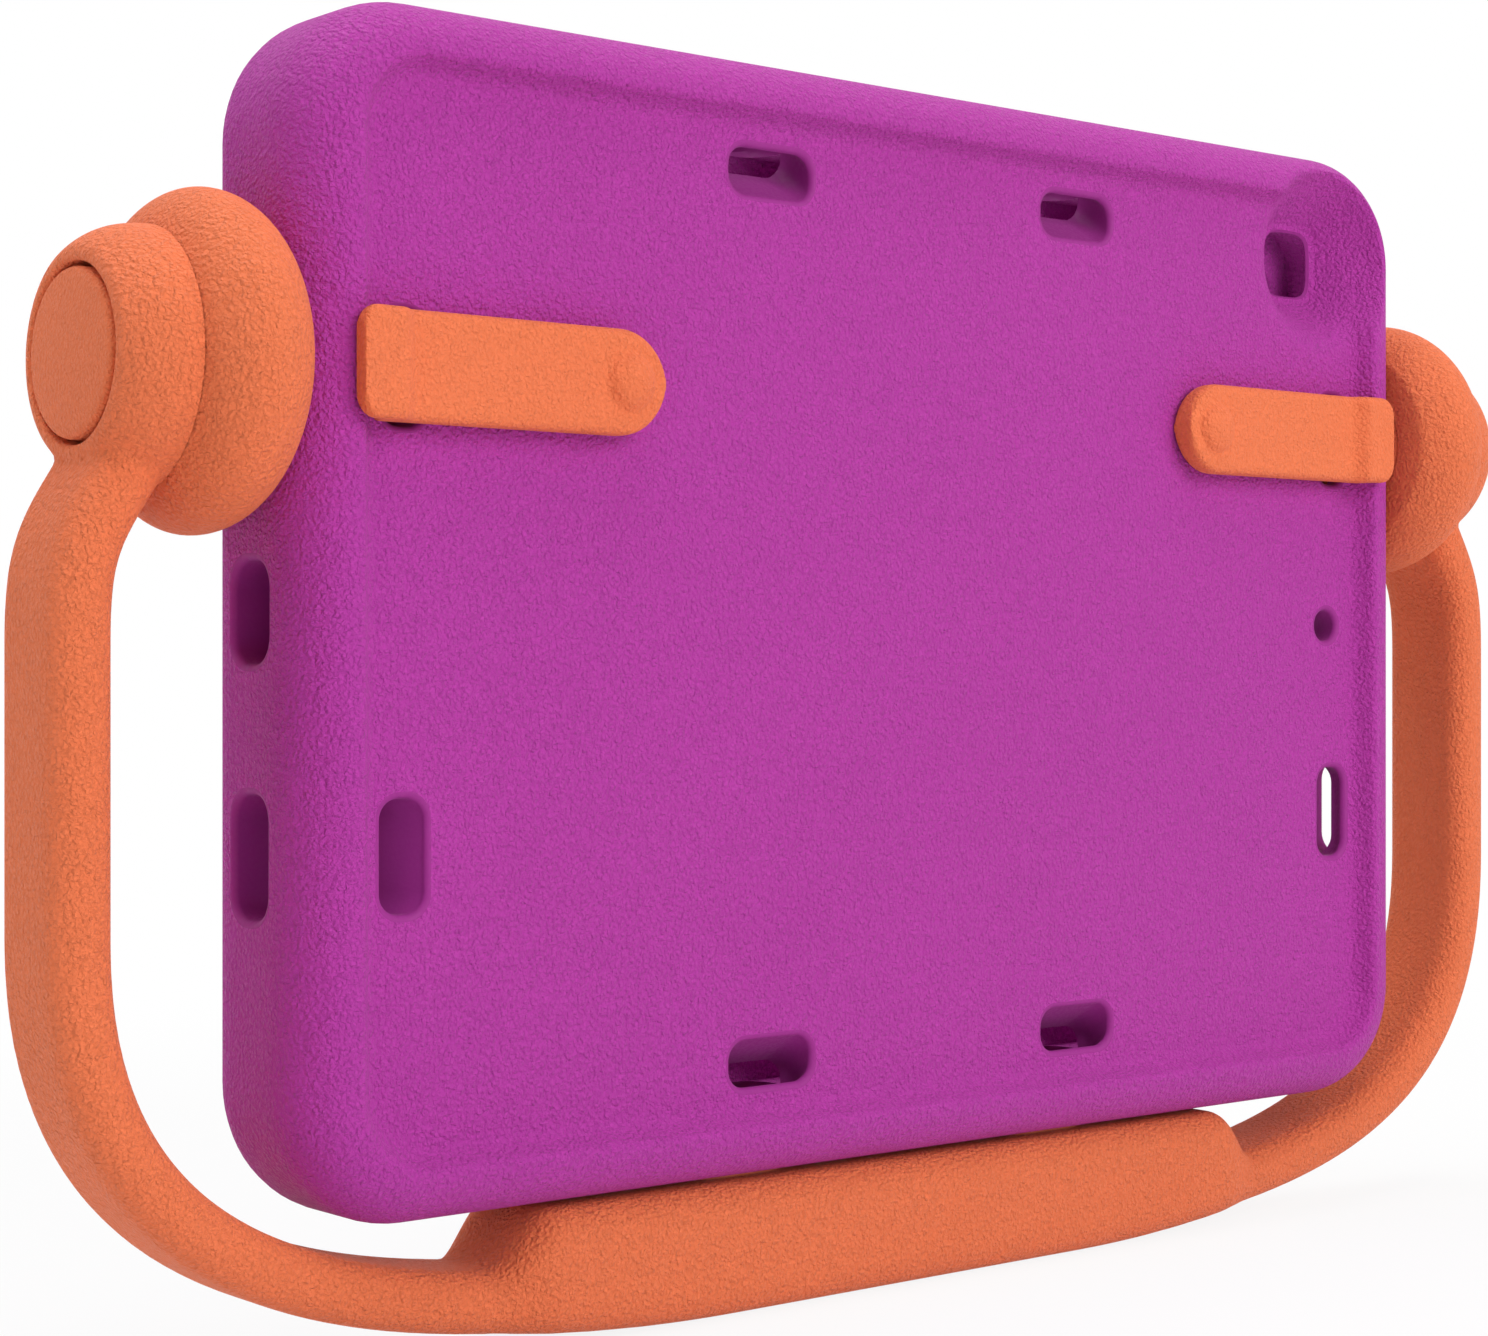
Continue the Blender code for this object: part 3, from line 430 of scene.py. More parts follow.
# %% [markdown]
# ## Helpers for round shapes
#
# Nearly every face here is a path swept round something: the shell's edge round the case, a knob about its
# axis, the arm along its bend. So the helpers are few. We begin with numbers and paths: a soft change from
# one value to another, a path with rounded corners, and a rectangle with rounded corners.

# %% Write the helpers for numbers and paths
CURVE_STEPS = 6


def smooth_step(share):
    """A share from 0 to 1 that starts and ends gently."""
    share = min(max(share, 0.0), 1.0)
    return share * share * (3 - 2 * share)


def between(first, last, share):
    return first + (last - first) * share


def soft_max(first, second, reach):
    """The larger of two, with the change from one to the other spread over this reach."""
    close = max(reach - abs(first - second), 0) / reach
    return max(first, second) + close * close * reach / 4


def rounded_path(points, rounds, steps=CURVE_STEPS):
    """The path with each inner corner replaced by a curve that starts this far before it."""
    path = [Vector(points[0])]
    for before, corner, after, radius in zip(points, points[1:], points[2:], rounds):
        before, corner, after = Vector(before), Vector(corner), Vector(after)
        start = corner + (before - corner).normalized() * radius
        end = corner + (after - corner).normalized() * radius
        for step in range(steps + 1):
            share = step / steps
            near = start.lerp(corner, share)
            path.append(near.lerp(corner.lerp(end, share), share))
    path.append(Vector(points[-1]))
    return path


def rounded_rectangle(half_a, half_b, radius, steps):
    """Points (a, b) round a rectangle about 0, with a quarter circle of this many steps at each corner."""
    points = []
    corners = ((1, 1, 0), (-1, 1, pi / 2), (-1, -1, pi), (1, -1, 3 * pi / 2))
    for sign_a, sign_b, start in corners:
        for step in range(steps + 1):
            angle = start + pi / 2 * step / steps
            a = sign_a * (half_a - radius) + radius * cos(angle)
            b = sign_b * (half_b - radius) + radius * sin(angle)
            points.append((a, b))
    return points


# %% [markdown]
# ### Skins and turned forms
#
# One helper skins a row of rings and closes both ends. Another turns a profile about the pivot's axis. The
# last makes an object of the result, once its faces are welded and point outwards.

# %% Write the helpers for skins
TURN_STEPS = 96
WELD = 0.001 * MM


def skin(rings, bm=None):
    """A closed skin through rings of equally many points, with both ends filled."""
    bm = bm or bmesh.new()
    loops = [[bm.verts.new(point) for point in ring] for ring in rings]
    count = len(loops[0])
    for near, far in zip(loops, loops[1:]):
        for i in range(count):
            bm.faces.new((near[i], near[(i + 1) % count], far[(i + 1) % count], far[i]))
    bm.faces.new(loops[0])
    bm.faces.new(loops[-1])
    return bm


def turn(profile, steps=TURN_STEPS, closed=False, bm=None):
    """Turns a profile of (radius, distance out) about the pivot's axis on the +X side."""
    bm = bm or bmesh.new()
    verts = [bm.verts.new((out, 0, PIVOT_Z + radius)) for radius, out in profile]
    pairs = list(zip(verts, verts[1:]))
    if closed:
        pairs.append((verts[-1], verts[0]))
    edges = [bm.edges.new(pair) for pair in pairs]
    bmesh.ops.spin(
        bm,
        geom=verts + edges,
        cent=(0, 0, PIVOT_Z),
        axis=(1, 0, 0),
        angle=2 * pi,
        steps=steps,
        use_merge=True,
    )
    return bm


def tidy(bm):
    """Welds what coincides and points the faces out."""
    bmesh.ops.remove_doubles(bm, verts=bm.verts, dist=WELD)
    bmesh.ops.recalc_face_normals(bm, faces=bm.faces)
    if bm.calc_volume(signed=True) < 0:
        bmesh.ops.reverse_faces(bm, faces=bm.faces)
    return bm


def as_object(name, bm, material=None, core=False):
    """An object of this mesh. With core, its faces take the second material of what it cuts."""
    mesh = bpy.data.meshes.new(name)
    tidy(bm).to_mesh(mesh)
    bm.free()
    if core:
        mesh.polygons.foreach_set("material_index", [1] * len(mesh.polygons))
    obj = bpy.data.objects.new(name, mesh)
    bpy.context.scene.collection.objects.link(obj)
    if material:
        mesh.materials.append(material)
    return obj


# %% [markdown]
# ### Cutting, melting and dressing
#
# Openings are cut with closed tools. Foam forms that meet in a crease are melted together. The last helper
# sets the normals by face area, which keeps flat faces flat beside small round edges, and hands the piece
# over to its body.

# %% Write the helpers for whole pieces


def bake_modifiers(obj):
    """Makes what the modifiers give the object's own mesh."""
    graph = bpy.context.evaluated_depsgraph_get()
    mesh = bpy.data.meshes.new_from_object(obj.evaluated_get(graph))
    obj.modifiers.clear()
    obj.data = mesh


def cut(obj, tool):
    """Takes the tool away from the object. The new faces keep the tool's material number."""
    modifier = obj.modifiers.new("cut", "BOOLEAN")
    modifier.operation = "DIFFERENCE"
    modifier.object = tool
    bake_modifiers(obj)
    bpy.data.objects.remove(tool)


def melt(obj, voxel, passes):
    """Makes overlapping closed shapes one body, with every corner and crease softened as in a mould."""
    remesh = obj.modifiers.new("melt", "REMESH")
    remesh.mode = "VOXEL"
    remesh.voxel_size = voxel
    smooth = obj.modifiers.new("soften", "SMOOTH")
    smooth.factor = 0.5
    smooth.iterations = passes
    bake_modifiers(obj)


def mirror_copy(obj, name):
    """The same piece for the left side."""
    bm = bmesh.new()
    bm.from_mesh(obj.data)
    bm.transform(Matrix.Scale(-1, 4, Vector((1, 0, 0))))
    bmesh.ops.reverse_faces(bm, faces=bm.faces)
    mesh = bpy.data.meshes.new(name)
    bm.to_mesh(mesh)
    bm.free()
    for material in obj.data.materials:
        mesh.materials.append(material)
    made = bpy.data.objects.new(name, mesh)
    bpy.context.scene.collection.objects.link(made)
    return made


def finish_piece(obj, body, nodes, sharp=50, weighted=True):
    """Smooth normals, then the piece rides on its body in place of its nodes."""
    obj.data.shade_smooth()
    obj.data.set_sharp_from_angle(angle=radians(sharp))
    if weighted:
        normals = obj.modifiers.new("normals", "WEIGHTED_NORMAL")
        normals.keep_sharp = True
    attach(obj, body)
    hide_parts(*nodes)
    triangles = sum(len(face.vertices) - 2 for face in obj.data.polygons)
    print(obj.name, "triangles:", triangles)


# %% [markdown]
# ## The shell's skin
#
# The shell is one foam moulding. Its edge has the same section all the way round, so it could be an outline
# with bevels, but its rim isn't a bevel: a broad round crest that drops to the panel through a short, steep
# S. We write that section as a path of (distance in from the wall, depth) and skin it round the case. The
# panel's flat rings end just before the S begins, because rings that cross would fold the skin.

# %% Write the shell's section
SHELL_CORNER = 23.5 * MM
REAR_RIM = 4.2 * MM
PANEL_Y = CREST_Y + REAR_RIM
PANEL = 9.5 * MM
POCKET_Y = PANEL_Y + PANEL
TABLET_DEPTH = 7.8 * MM
LIP_Y = POCKET_Y + TABLET_DEPTH
LIP = 2.5 * MM
WALL = 15.0 * MM
LIP_OVERLAP = 6.0 * MM
POCKET_CORNER = 9.0 * MM
LIP_CORNER = 7.0 * MM
RIM_SIDE = 12.5 * MM
RIM_END = 11.2 * MM
REAR_ROUND = 12.0 * MM
FRONT_ROUND = 8.0 * MM
BUMPER_WIDTH = 13.0 * MM
CREST_END = 1.2 * MM
COVE = 2.7 * MM
COVE_FOOT = 1.9 * MM
CREST_ROUND = 1.0 * MM
CREST_RISE = 0.35 * MM
CREST_RUN = 3.0 * MM
PANEL_RUN = 2.0 * MM
PANEL_CORNER = 12.0 * MM
PANEL_START = RIM_SIDE - CREST_END + COVE
PANEL_RINGS = 26
LAST_PANEL_RING = 2
RING_STEP = 1.25 * MM
ROUND_STEPS = 14
FIRST_ROUND_STEP = 2
BUMPER_ROUND = 2.2 * MM
LIP_ROUND = 1.1 * MM
LIP_EDGE = 0.6 * MM
FRONT_STEPS = 8


def rear_ring(inset, y):
    """The ring's inset along X and Z, its corner radius and its y, on the rear half of the section."""
    share = min(inset / RIM_SIDE, 1)
    corner = max(SHELL_CORNER - share * (SHELL_CORNER - PANEL_CORNER), PANEL_CORNER)
    inset_z = inset - share * (RIM_SIDE - RIM_END)
    return inset, inset_z, corner, y


def front_ring(inset, y, corner=None):
    """The same on the screen side, where the corner closes evenly towards the lip."""
    share = inset / (WALL + LIP_OVERLAP)
    return inset, inset, corner or between(SHELL_CORNER, LIP_CORNER, share), y


rear_rings = []
crest_inset = RIM_SIDE - CREST_END
for step in range(PANEL_RINGS, LAST_PANEL_RING - 1, -1):
    rear_rings.append(rear_ring(PANEL_START + step * RING_STEP, PANEL_Y))
cove_path = rounded_path(
    [
        (PANEL_START + PANEL_RUN, PANEL_Y),
        (PANEL_START, PANEL_Y),
        (crest_inset, CREST_Y + CREST_RISE / 2),
        (crest_inset - CREST_RUN, CREST_Y),
    ],
    (COVE_FOOT, CREST_ROUND),
)
for inset, y in cove_path[1:-1]:
    rear_rings.append(rear_ring(inset, y))
for step in range(FIRST_ROUND_STEP, ROUND_STEPS + 1):
    angle = pi / 2 * step / ROUND_STEPS
    inset = crest_inset * (1 - sin(angle))
    rear_rings.append(rear_ring(inset, CREST_Y + REAR_ROUND * (1 - cos(angle))))

front_path = rounded_path(
    [
        (0, CREST_Y + REAR_ROUND + FRONT_ROUND / 4),
        (0, FRONT_Y),
        (BUMPER_WIDTH, FRONT_Y),
        (WALL + LIP_OVERLAP, LIP_Y + LIP),
        (WALL + LIP_OVERLAP, LIP_Y),
        (WALL, LIP_Y),
    ],
    (FRONT_ROUND, BUMPER_ROUND, LIP_ROUND, LIP_EDGE),
    steps=FRONT_STEPS,
)
front_rings = [front_ring(inset, y) for inset, y in front_path[:-1]]
front_rings += [front_ring(WALL, LIP_Y, POCKET_CORNER), front_ring(WALL, POCKET_Y, POCKET_CORNER)]
print("rings:", len(rear_rings), "behind,", len(front_rings), "in front")

# %% [markdown]
# ### The camera's funnel
#
# Seen from behind, the funnel is a round dish that closes to a soft-cornered square over the lens. Written as
# a depth over the plane it needs no cutting: the skin simply takes whichever is deeper, the rim or the dish,
# and the change between them is spread over a few millimetres, so no hard line is left. The skin is divided
# more finely in this corner, to carry the dish's shape.

# %% Shape and skin the shell
CAMERA_INSET = 10.5 * MM
CAMERA_DOWN = 8.0 * MM
CAMERA_X = SHELL_X - WALL - CAMERA_INSET
CAMERA_Z = SHELL_Z - WALL - CAMERA_DOWN
CAMERA_HOLE = 7.0 * MM
FUNNEL_RIM = 17.6 * MM
FUNNEL_SLOPE = 0.98
FUNNEL_WALL_SLOPE = 2.0
FUNNEL_FLOOR = PANEL - 0.7 * MM
FUNNEL_SOFTNESS = 3.0 * MM
FINE_STEPS = 40
PLAIN_STEPS = 16
FINE_RUN_STEPS = 20
FINE_RUN = [RING_STEP * step for step in range(1, FINE_RUN_STEPS + 1)]


def with_funnel(x, z, y):
    """The depth at this place, once the camera's funnel has had its share."""
    dx, dz = x - CAMERA_X, z - CAMERA_Z
    round_reach = hypot(dx, dz)
    square_reach = (dx**4 + dz**4) ** 0.25
    share = smooth_step((round_reach - CAMERA_HOLE) / (FUNNEL_RIM - CAMERA_HOLE))
    reach = between(square_reach, round_reach, share)
    slope = FUNNEL_SLOPE if reach < FUNNEL_RIM else FUNNEL_WALL_SLOPE
    depth = min((FUNNEL_RIM - reach) * slope, FUNNEL_FLOOR)
    return soft_max(y, PANEL_Y + depth, FUNNEL_SOFTNESS)


def ring_points(inset_x, inset_z, corner, y, funnel=False):
    """Points round the case, from the right side up, finely divided at the camera's corner."""
    half_x, half_z = SHELL_X - inset_x, SHELL_Z - inset_z
    flat = [(half_x, half_z - corner - run) for run in reversed(FINE_RUN)]
    for index, (sign_x, sign_z) in enumerate(((1, 1), (-1, 1), (-1, -1), (1, -1))):
        steps = FINE_STEPS if index == 0 else PLAIN_STEPS
        for step in range(steps + 1):
            angle = pi / 2 * (index + step / steps)
            x = sign_x * (half_x - corner) + corner * cos(angle)
            flat.append((x, sign_z * (half_z - corner) + corner * sin(angle)))
        if index == 0:
            flat += [(half_x - corner - run, half_z) for run in FINE_RUN]
    return [Vector((x, with_funnel(x, z, y) if funnel else y, CASE_Z + z)) for x, z in flat]


rings = [ring_points(*ring, funnel=True) for ring in rear_rings]
rings += [ring_points(*ring) for ring in front_rings]
shell = as_object("foam_shell", skin(rings), magenta_foam)
# The second material, for the slots' walls, is darker as painted shade.
shell.data.materials.append(magenta_core_painted_shade)
print("shell skin:", len(shell.data.polygons), "faces")

# %% [markdown]
# ## Slots, ports and holes
#
# Eight slots take the straps' tongues. Each runs from a mouth in the rear panel, slanting outwards round the
# tablet's edge, to a mouth in the wall. Each mouth has a small round lip. They are cut with lofted tools that
# hold the lip's curve in their own rings, so no bevel is needed afterwards. The tools' faces carry the second
# material, which leaves the inner walls smooth and darker, and the darkness is painted shade.

# %% Cut the openings
REAR_MOUTH_INSET = 21.0 * MM
REAR_MOUTH = (9.6 * MM, 4.25 * MM)
WALL_MOUTH = (10.4 * MM, 5.3 * MM)
ELBOW_INSET = 12.15 * MM
ELBOW_TILT = 0.3
SLOT_CORNER = 0.85
SLOT_ALONG = 40.0 * MM
MOUTH_LIP = 1.2 * MM
OUTSIDE = 3.0 * MM
LIP_STEPS = 5
SLOT_CORNER_STEPS = 8
HOLE_STEPS = 64
SIDES = {
    "left": (Vector((-1, 0, 0)), Vector((0, 0, 1)), SHELL_X),
    "right": (Vector((1, 0, 0)), Vector((0, 0, 1)), SHELL_X),
    "top": (Vector((0, 0, 1)), Vector((1, 0, 0)), SHELL_Z),
    "bottom": (Vector((0, 0, -1)), Vector((1, 0, 0)), SHELL_Z),
}


def lip_rings():
    """(depth in from the face, growth of the mouth) down a quarter-round lip, from outside the face."""
    rings = [(-OUTSIDE, MOUTH_LIP)]
    for step in range(LIP_STEPS + 1):
        angle = pi / 2 * step / LIP_STEPS
        rings.append((MOUTH_LIP * (1 - cos(angle)), MOUTH_LIP * (1 - sin(angle))))
    return rings


def slot_ring(side, level, halves, along, growth=0.0, depth=0.0):
    """A ring of a slot's tool: in the rear panel, at the elbow round the tablet, or in the wall."""
    out, run, reach = SIDES[side]
    half_a, half_b = halves[0] + growth, halves[1] + growth
    ring = []
    for a, b in rounded_rectangle(half_a, half_b, SLOT_CORNER * half_b, SLOT_CORNER_STEPS):
        if level == "rear":
            point = out * (reach - REAR_MOUTH_INSET + b) + Vector((0, PANEL_Y + depth, 0))
        elif level == "elbow":
            point = out * (reach - ELBOW_INSET + ELBOW_TILT * b) + Vector((0, -b, 0))
        else:
            point = out * (reach - depth) + Vector((0, -b, 0))
        ring.append(point + run * (along + a) + Vector((0, 0, CASE_Z)))
    return ring


def slot_tool(side, along, bm):
    rings = [slot_ring(side, "rear", REAR_MOUTH, along, growth, depth) for depth, growth in lip_rings()]
    rings.append(slot_ring(side, "elbow", WALL_MOUTH, along))
    for depth, growth in reversed(lip_rings()):
        rings.append(slot_ring(side, "wall", WALL_MOUTH, along, growth, depth))
    skin(rings, bm)


def port_tool(side, halves, along, bm):
    rings = [slot_ring(side, "wall", halves, along, 0, WALL + OUTSIDE / 4)]
    for depth, growth in reversed(lip_rings()):
        rings.append(slot_ring(side, "wall", halves, along, growth, depth))
    skin(rings, bm)


def panel_tool(x, z, half_width, power, levels, bm):
    """A round or soft-cornered hole through the rear panel, with (depth, growth) for each ring."""
    rings = []
    for depth, growth in levels:
        ring = []
        for step in range(HOLE_STEPS):
            angle = 2 * pi * step / HOLE_STEPS
            reach = (abs(cos(angle)) ** power + abs(sin(angle)) ** power) ** (-1 / power)
            reach *= half_width + growth
            ring.append(Vector((x + reach * cos(angle), PANEL_Y + depth, CASE_Z + z + reach * sin(angle))))
        rings.append(ring)
    skin(rings, bm)


ROUND_HOLE = 2
SQUARE_HOLE = 4
LENS_EDGE = 0.5 * MM
MICROPHONE_INSET = 22.9 * MM
MICROPHONE_BORE = 3.3 * MM
PORT = (8.55 * MM, 5.65 * MM)
EARPHONE = (4.5 * MM, 4.5 * MM)
EARPHONE_DOWN = 72.0 * MM
PEG_OUT = 76.2 * MM
PEG_HOLE = 3.0 * MM
PEG_DEPTH = 4.8 * MM

tools = bmesh.new()
for side in ("left", "right"):
    for along in (-SLOT_UP, SLOT_UP):
        slot_tool(side, along, tools)
for side in ("top", "bottom"):
    for along in (-SLOT_ALONG, SLOT_ALONG):
        slot_tool(side, along, tools)
port_tool("left", PORT, 0, tools)
port_tool("right", EARPHONE, -EARPHONE_DOWN, tools)
through = lip_rings() + [(PANEL + OUTSIDE, 0)]
panel_tool(SHELL_X - MICROPHONE_INSET, 0, MICROPHONE_BORE, ROUND_HOLE, through, tools)
for sign in (-1, 1):
    panel_tool(sign * PEG_OUT, SLOT_UP, PEG_HOLE, ROUND_HOLE, [(-OUTSIDE, 0), (PEG_DEPTH, 0)], tools)
lens_edge = [(FUNNEL_FLOOR - OUTSIDE, LENS_EDGE), (FUNNEL_FLOOR, LENS_EDGE), (FUNNEL_FLOOR + LENS_EDGE, 0)]
panel_tool(CAMERA_X, CAMERA_Z, CAMERA_HOLE, SQUARE_HOLE, lens_edge + [(PANEL + OUTSIDE, 0)], tools)
cut(shell, as_object("opening_tools", tools, core=True))
finish_piece(shell, "case", ["case_shell"], sharp=40)

# %% [markdown]
# ## The handle
#
# The handle is one foam moulding too: two round hubs, flat arms that bend inwards, and a thick grip. Where
# they meet there are soft creases. The forms are made as closed bodies that overlap, and then melted together
# on a fine grid and smoothed, which rounds every crease as a mould does. What is cut out of the hubs is cut
# afterwards, so that its edges stay clean.

# %% Build the arms and the grip
HAND_GAP = 28.8 * MM
ARM_THICKNESS = 11.0 * MM
ARM_DEPTH = 22.0 * MM
ARM_ROUND = 4.8 * MM
ARM_CENTRE = SHELL_X + HAND_GAP + ARM_THICKNESS / 2
HUB_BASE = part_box("right_hub_bush")[0].x
NECK_SEAT = 5.4 * MM
NECK_TOP = 16.0 * MM
NECK_DROP = 44.9 * MM
NECK_LEAN = radians(57.5)
NECK_PULL = (13.8 * MM, 14.9 * MM)
ARM_AT_GRIP = 10.8 * MM
FOOT_LIFT = 3.8 * MM
ARM_LOW = FOOT_LIFT + ARM_AT_GRIP / 2
BEND_RISE = 65.7 * MM
BEND_PULL = (46.0 * MM, 42.0 * MM)
BEND_SLOPE = radians(7.3)
GRIP_END = 98.4 * MM
GRIP_TOP = 24.5 * MM
GRIP_DEPTH = 27.0 * MM
GRIP_ROUND = 6.0 * MM
GRIP_FOOT = 45.0 * MM
GRIP_SHOULDER = 86.0 * MM
ARM_CORNER_STEPS = 8
NECK_STEPS = 12
BEND_STEPS = 32
GRIP_STEPS = 40
INTO_GRIP = (10.0 * MM, 1.1 * MM)


def bezier(points, share):
    """The place on a cubic curve of four points in the plane."""
    rest = 1 - share
    weights = (rest**3, 3 * rest * rest * share, 3 * rest * share * share, share**3)
    total = Vector((0, 0))
    for weight, point in zip(weights, points):
        total += weight * Vector(point)
    return total


def arm_line():
    """The right arm's middle in X and Z from the hub to inside the grip, and half its thickness there."""
    half = ARM_THICKNESS / 2
    top = Vector((HUB_BASE + NECK_SEAT, PIVOT_Z - NECK_TOP))
    straight = Vector((ARM_CENTRE, PIVOT_Z - NECK_DROP))
    lean = Vector((cos(NECK_LEAN), -sin(NECK_LEAN)))
    neck = [top, top + NECK_PULL[0] * lean, straight + Vector((0, NECK_PULL[1])), straight]
    start = Vector((ARM_CENTRE, ARM_LOW + BEND_RISE))
    end = Vector((GRIP_END, ARM_LOW))
    slope = Vector((cos(BEND_SLOPE), sin(BEND_SLOPE)))
    bend = [start, start - Vector((0, BEND_PULL[0])), end + BEND_PULL[1] * slope, end]
    line = [(bezier(neck, step / NECK_STEPS), half) for step in range(NECK_STEPS + 1)]
    for step in range(BEND_STEPS + 1):
        share = step / BEND_STEPS
        line.append((bezier(bend, share), between(half, ARM_AT_GRIP / 2, smooth_step(share))))
    return line


def arm_rings():
    """Sections of the right arm, each square to its line."""
    line = arm_line()
    rings = []
    for i, (place, thick) in enumerate(line):
        before = line[max(i - 1, 0)][0]
        after = line[min(i + 1, len(line) - 1)][0]
        way = (after - before).normalized()
        across = Vector((-way.y, way.x))
        ring = []
        for a, b in rounded_rectangle(ARM_DEPTH / 2, thick, min(ARM_ROUND, 0.95 * thick), ARM_CORNER_STEPS):
            spot = place + across * b
            ring.append(Vector((spot.x, a, spot.y)))
        rings.append(ring)
    return rings


def grip_ring(x):
    """A section of the grip, which slopes down to the arm at each end."""
    share = smooth_step((abs(x) - GRIP_SHOULDER) / (GRIP_END - GRIP_SHOULDER))
    run = max(abs(x) - GRIP_FOOT, 0) / (GRIP_END - GRIP_FOOT)
    low = FOOT_LIFT * run * run
    high = between(GRIP_TOP, FOOT_LIFT + ARM_AT_GRIP, share)
    half_depth = between(GRIP_DEPTH, ARM_DEPTH, share) / 2
    half = (high - low) / 2
    radius = min(between(GRIP_ROUND, ARM_ROUND, share), 0.9 * half)
    outline = rounded_rectangle(half_depth, half, radius, ARM_CORNER_STEPS)
    return [Vector((x, a, low + half + b)) for a, b in outline]


grip_places = [GRIP_END * sin(pi / 2 * step / GRIP_STEPS) for step in range(-GRIP_STEPS, GRIP_STEPS + 1)]
body = bmesh.new()
skin([grip_ring(x) for x in grip_places], body)
for sign in (1, -1):
    arm = [[Vector((sign * p.x, p.y, p.z)) for p in ring] for ring in arm_rings()]
    inner = [[Vector((p.x - sign * INTO_GRIP[0], p.y, p.z - INTO_GRIP[1])) for p in arm[-1]]]
    skin(arm + inner, body)
tidy(body)
print("arms and grip:", len(body.faces), "faces before melting")

# %% [markdown]
# ### The hubs
#
# A hub is a turned form: a full round side, and a rim that curls into the cap's recess. Its foot runs on a
# little too far, because it is trimmed later to lie against the flange's dome.

# %% Add the hubs and melt the handle
HUB_HEIGHT = 13.2 * MM
HUB_WIDTH = 42.6 * MM
HUB_DOME = (12.0 * MM, 13.2 * MM)
HUB_WAIST = 2.6 * MM
HUB_FOOT = 3.0 * MM
HUB_FLARE = 0.5 * MM
HUB_TOP = HUB_BASE + HUB_HEIGHT
HUB_STEPS = 24
HANDLE_VOXEL = 0.8 * MM
HANDLE_PASSES = 3


def hub_profile():
    """The right hub as (radius, distance out), from its flat top to its foot."""
    centre = HUB_WIDTH / 2 - HUB_DOME[0]
    middle = HUB_BASE + HUB_WAIST
    points = [(0, HUB_TOP)]
    for step in range(HUB_STEPS + 1):
        out = between(HUB_TOP, middle, smooth_step(step / HUB_STEPS))
        share = (out - middle) / HUB_DOME[1]
        points.append((centre + HUB_DOME[0] * sqrt(max(1 - share * share, 0)), out))
    foot = HUB_BASE - HUB_FOOT
    return points + [(HUB_WIDTH / 2 + HUB_FLARE, foot), (0, foot)]


hub = turn(hub_profile())
tidy(hub)
hub_mesh = bpy.data.meshes.new("hub")
hub.to_mesh(hub_mesh)
hub.free()
for sign in (1, -1):
    copy = bmesh.new()
    copy.from_mesh(hub_mesh)
    if sign < 0:
        copy.transform(Matrix.Scale(-1, 4, Vector((1, 0, 0))))
        bmesh.ops.reverse_faces(copy, faces=copy.faces)
    side_mesh = bpy.data.meshes.new("hub_side")
    copy.to_mesh(side_mesh)
    copy.free()
    body.from_mesh(side_mesh)
handle_mesh = bpy.data.meshes.new("foam_handle")
body.to_mesh(handle_mesh)
body.free()
handle = bpy.data.objects.new("foam_handle", handle_mesh)
bpy.context.scene.collection.objects.link(handle)
handle_mesh.materials.append(orange_foam)
melt(handle, HANDLE_VOXEL, HANDLE_PASSES)
print("handle after melting:", len(handle.data.polygons), "faces")

# %% [markdown]
# ### What is cut from a hub
#
# Each hub has a recess for its cap, with a small round lip, and a bore for the hidden bush. Its foot lies
# against the flange's dome with a hair's gap, since the real one seems to grow out of the flange in one soft
# crease. One turned tool takes all three at once: cuts in a row, with faces that nearly coincide, can turn a
# boolean inside out. The flange's sizes stand here, because the tool follows its dome.

# %% Cut the recess, the bore and the foot
CAP_RECESS = 5.0 * MM
CAP_WIDTH = 28.2 * MM
CAP_GAP = 0.4 * MM
BUSH_GAP = 0.3 * MM
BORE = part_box("right_hub_bush")[1].y + BUSH_GAP
RECESS_LIP = 0.9 * MM
FLANGE_WIDTH = 56.4 * MM
FLANGE_SHOULDER = 10.3 * MM
FLANGE_DOME = (16.6 * MM, 11.4 * MM)
FLANGE_BACK = 12.6 * MM
FLANGE_STEPS = 28
FLANGE_BACK_STEPS = 12
KNOB_STEPS = 128
FLANGE_LEDGE = 18.8 * MM
SEAM = 0.2 * MM
flange_low, flange_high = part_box("right_pivot_flange")
FLANGE_WIDEST = flange_low.x + FLANGE_SHOULDER


def flange_dome(gap=0.0):
    """The outline of the flange from its ledge inside the hub to its widest place, grown by a gap."""
    centre = FLANGE_WIDTH / 2 - FLANGE_DOME[0]
    semi = (FLANGE_DOME[0] + gap, FLANGE_DOME[1] + gap)
    start = asin((FLANGE_LEDGE - gap - centre) / semi[0])
    points = []
    for step in range(FLANGE_STEPS + 1):
        angle = between(start, pi / 2, step / FLANGE_STEPS)
        points.append((centre + semi[0] * sin(angle), FLANGE_WIDEST + semi[1] * cos(angle)))
    return points


def hub_tool_profile():
    """What is taken from a hub: the cap's recess, the bore, and what its foot leaves to the flange."""
    wall = CAP_WIDTH / 2 + CAP_GAP
    points = [(0, HUB_TOP + OUTSIDE), (wall + RECESS_LIP, HUB_TOP + OUTSIDE)]
    for step in range(LIP_STEPS + 1):
        angle = pi / 2 * step / LIP_STEPS
        points.append((wall + RECESS_LIP * (1 - sin(angle)), HUB_TOP - RECESS_LIP * (1 - cos(angle))))
    floor_out = HUB_TOP - CAP_RECESS
    points += [(wall, floor_out), (BORE, floor_out), (BORE, HUB_BASE)]
    dome = flange_dome(SEAM)
    below = flange_low.x + OUTSIDE
    return points + [(dome[0][0], HUB_BASE)] + dome + [(dome[-1][0], below), (0, below)]


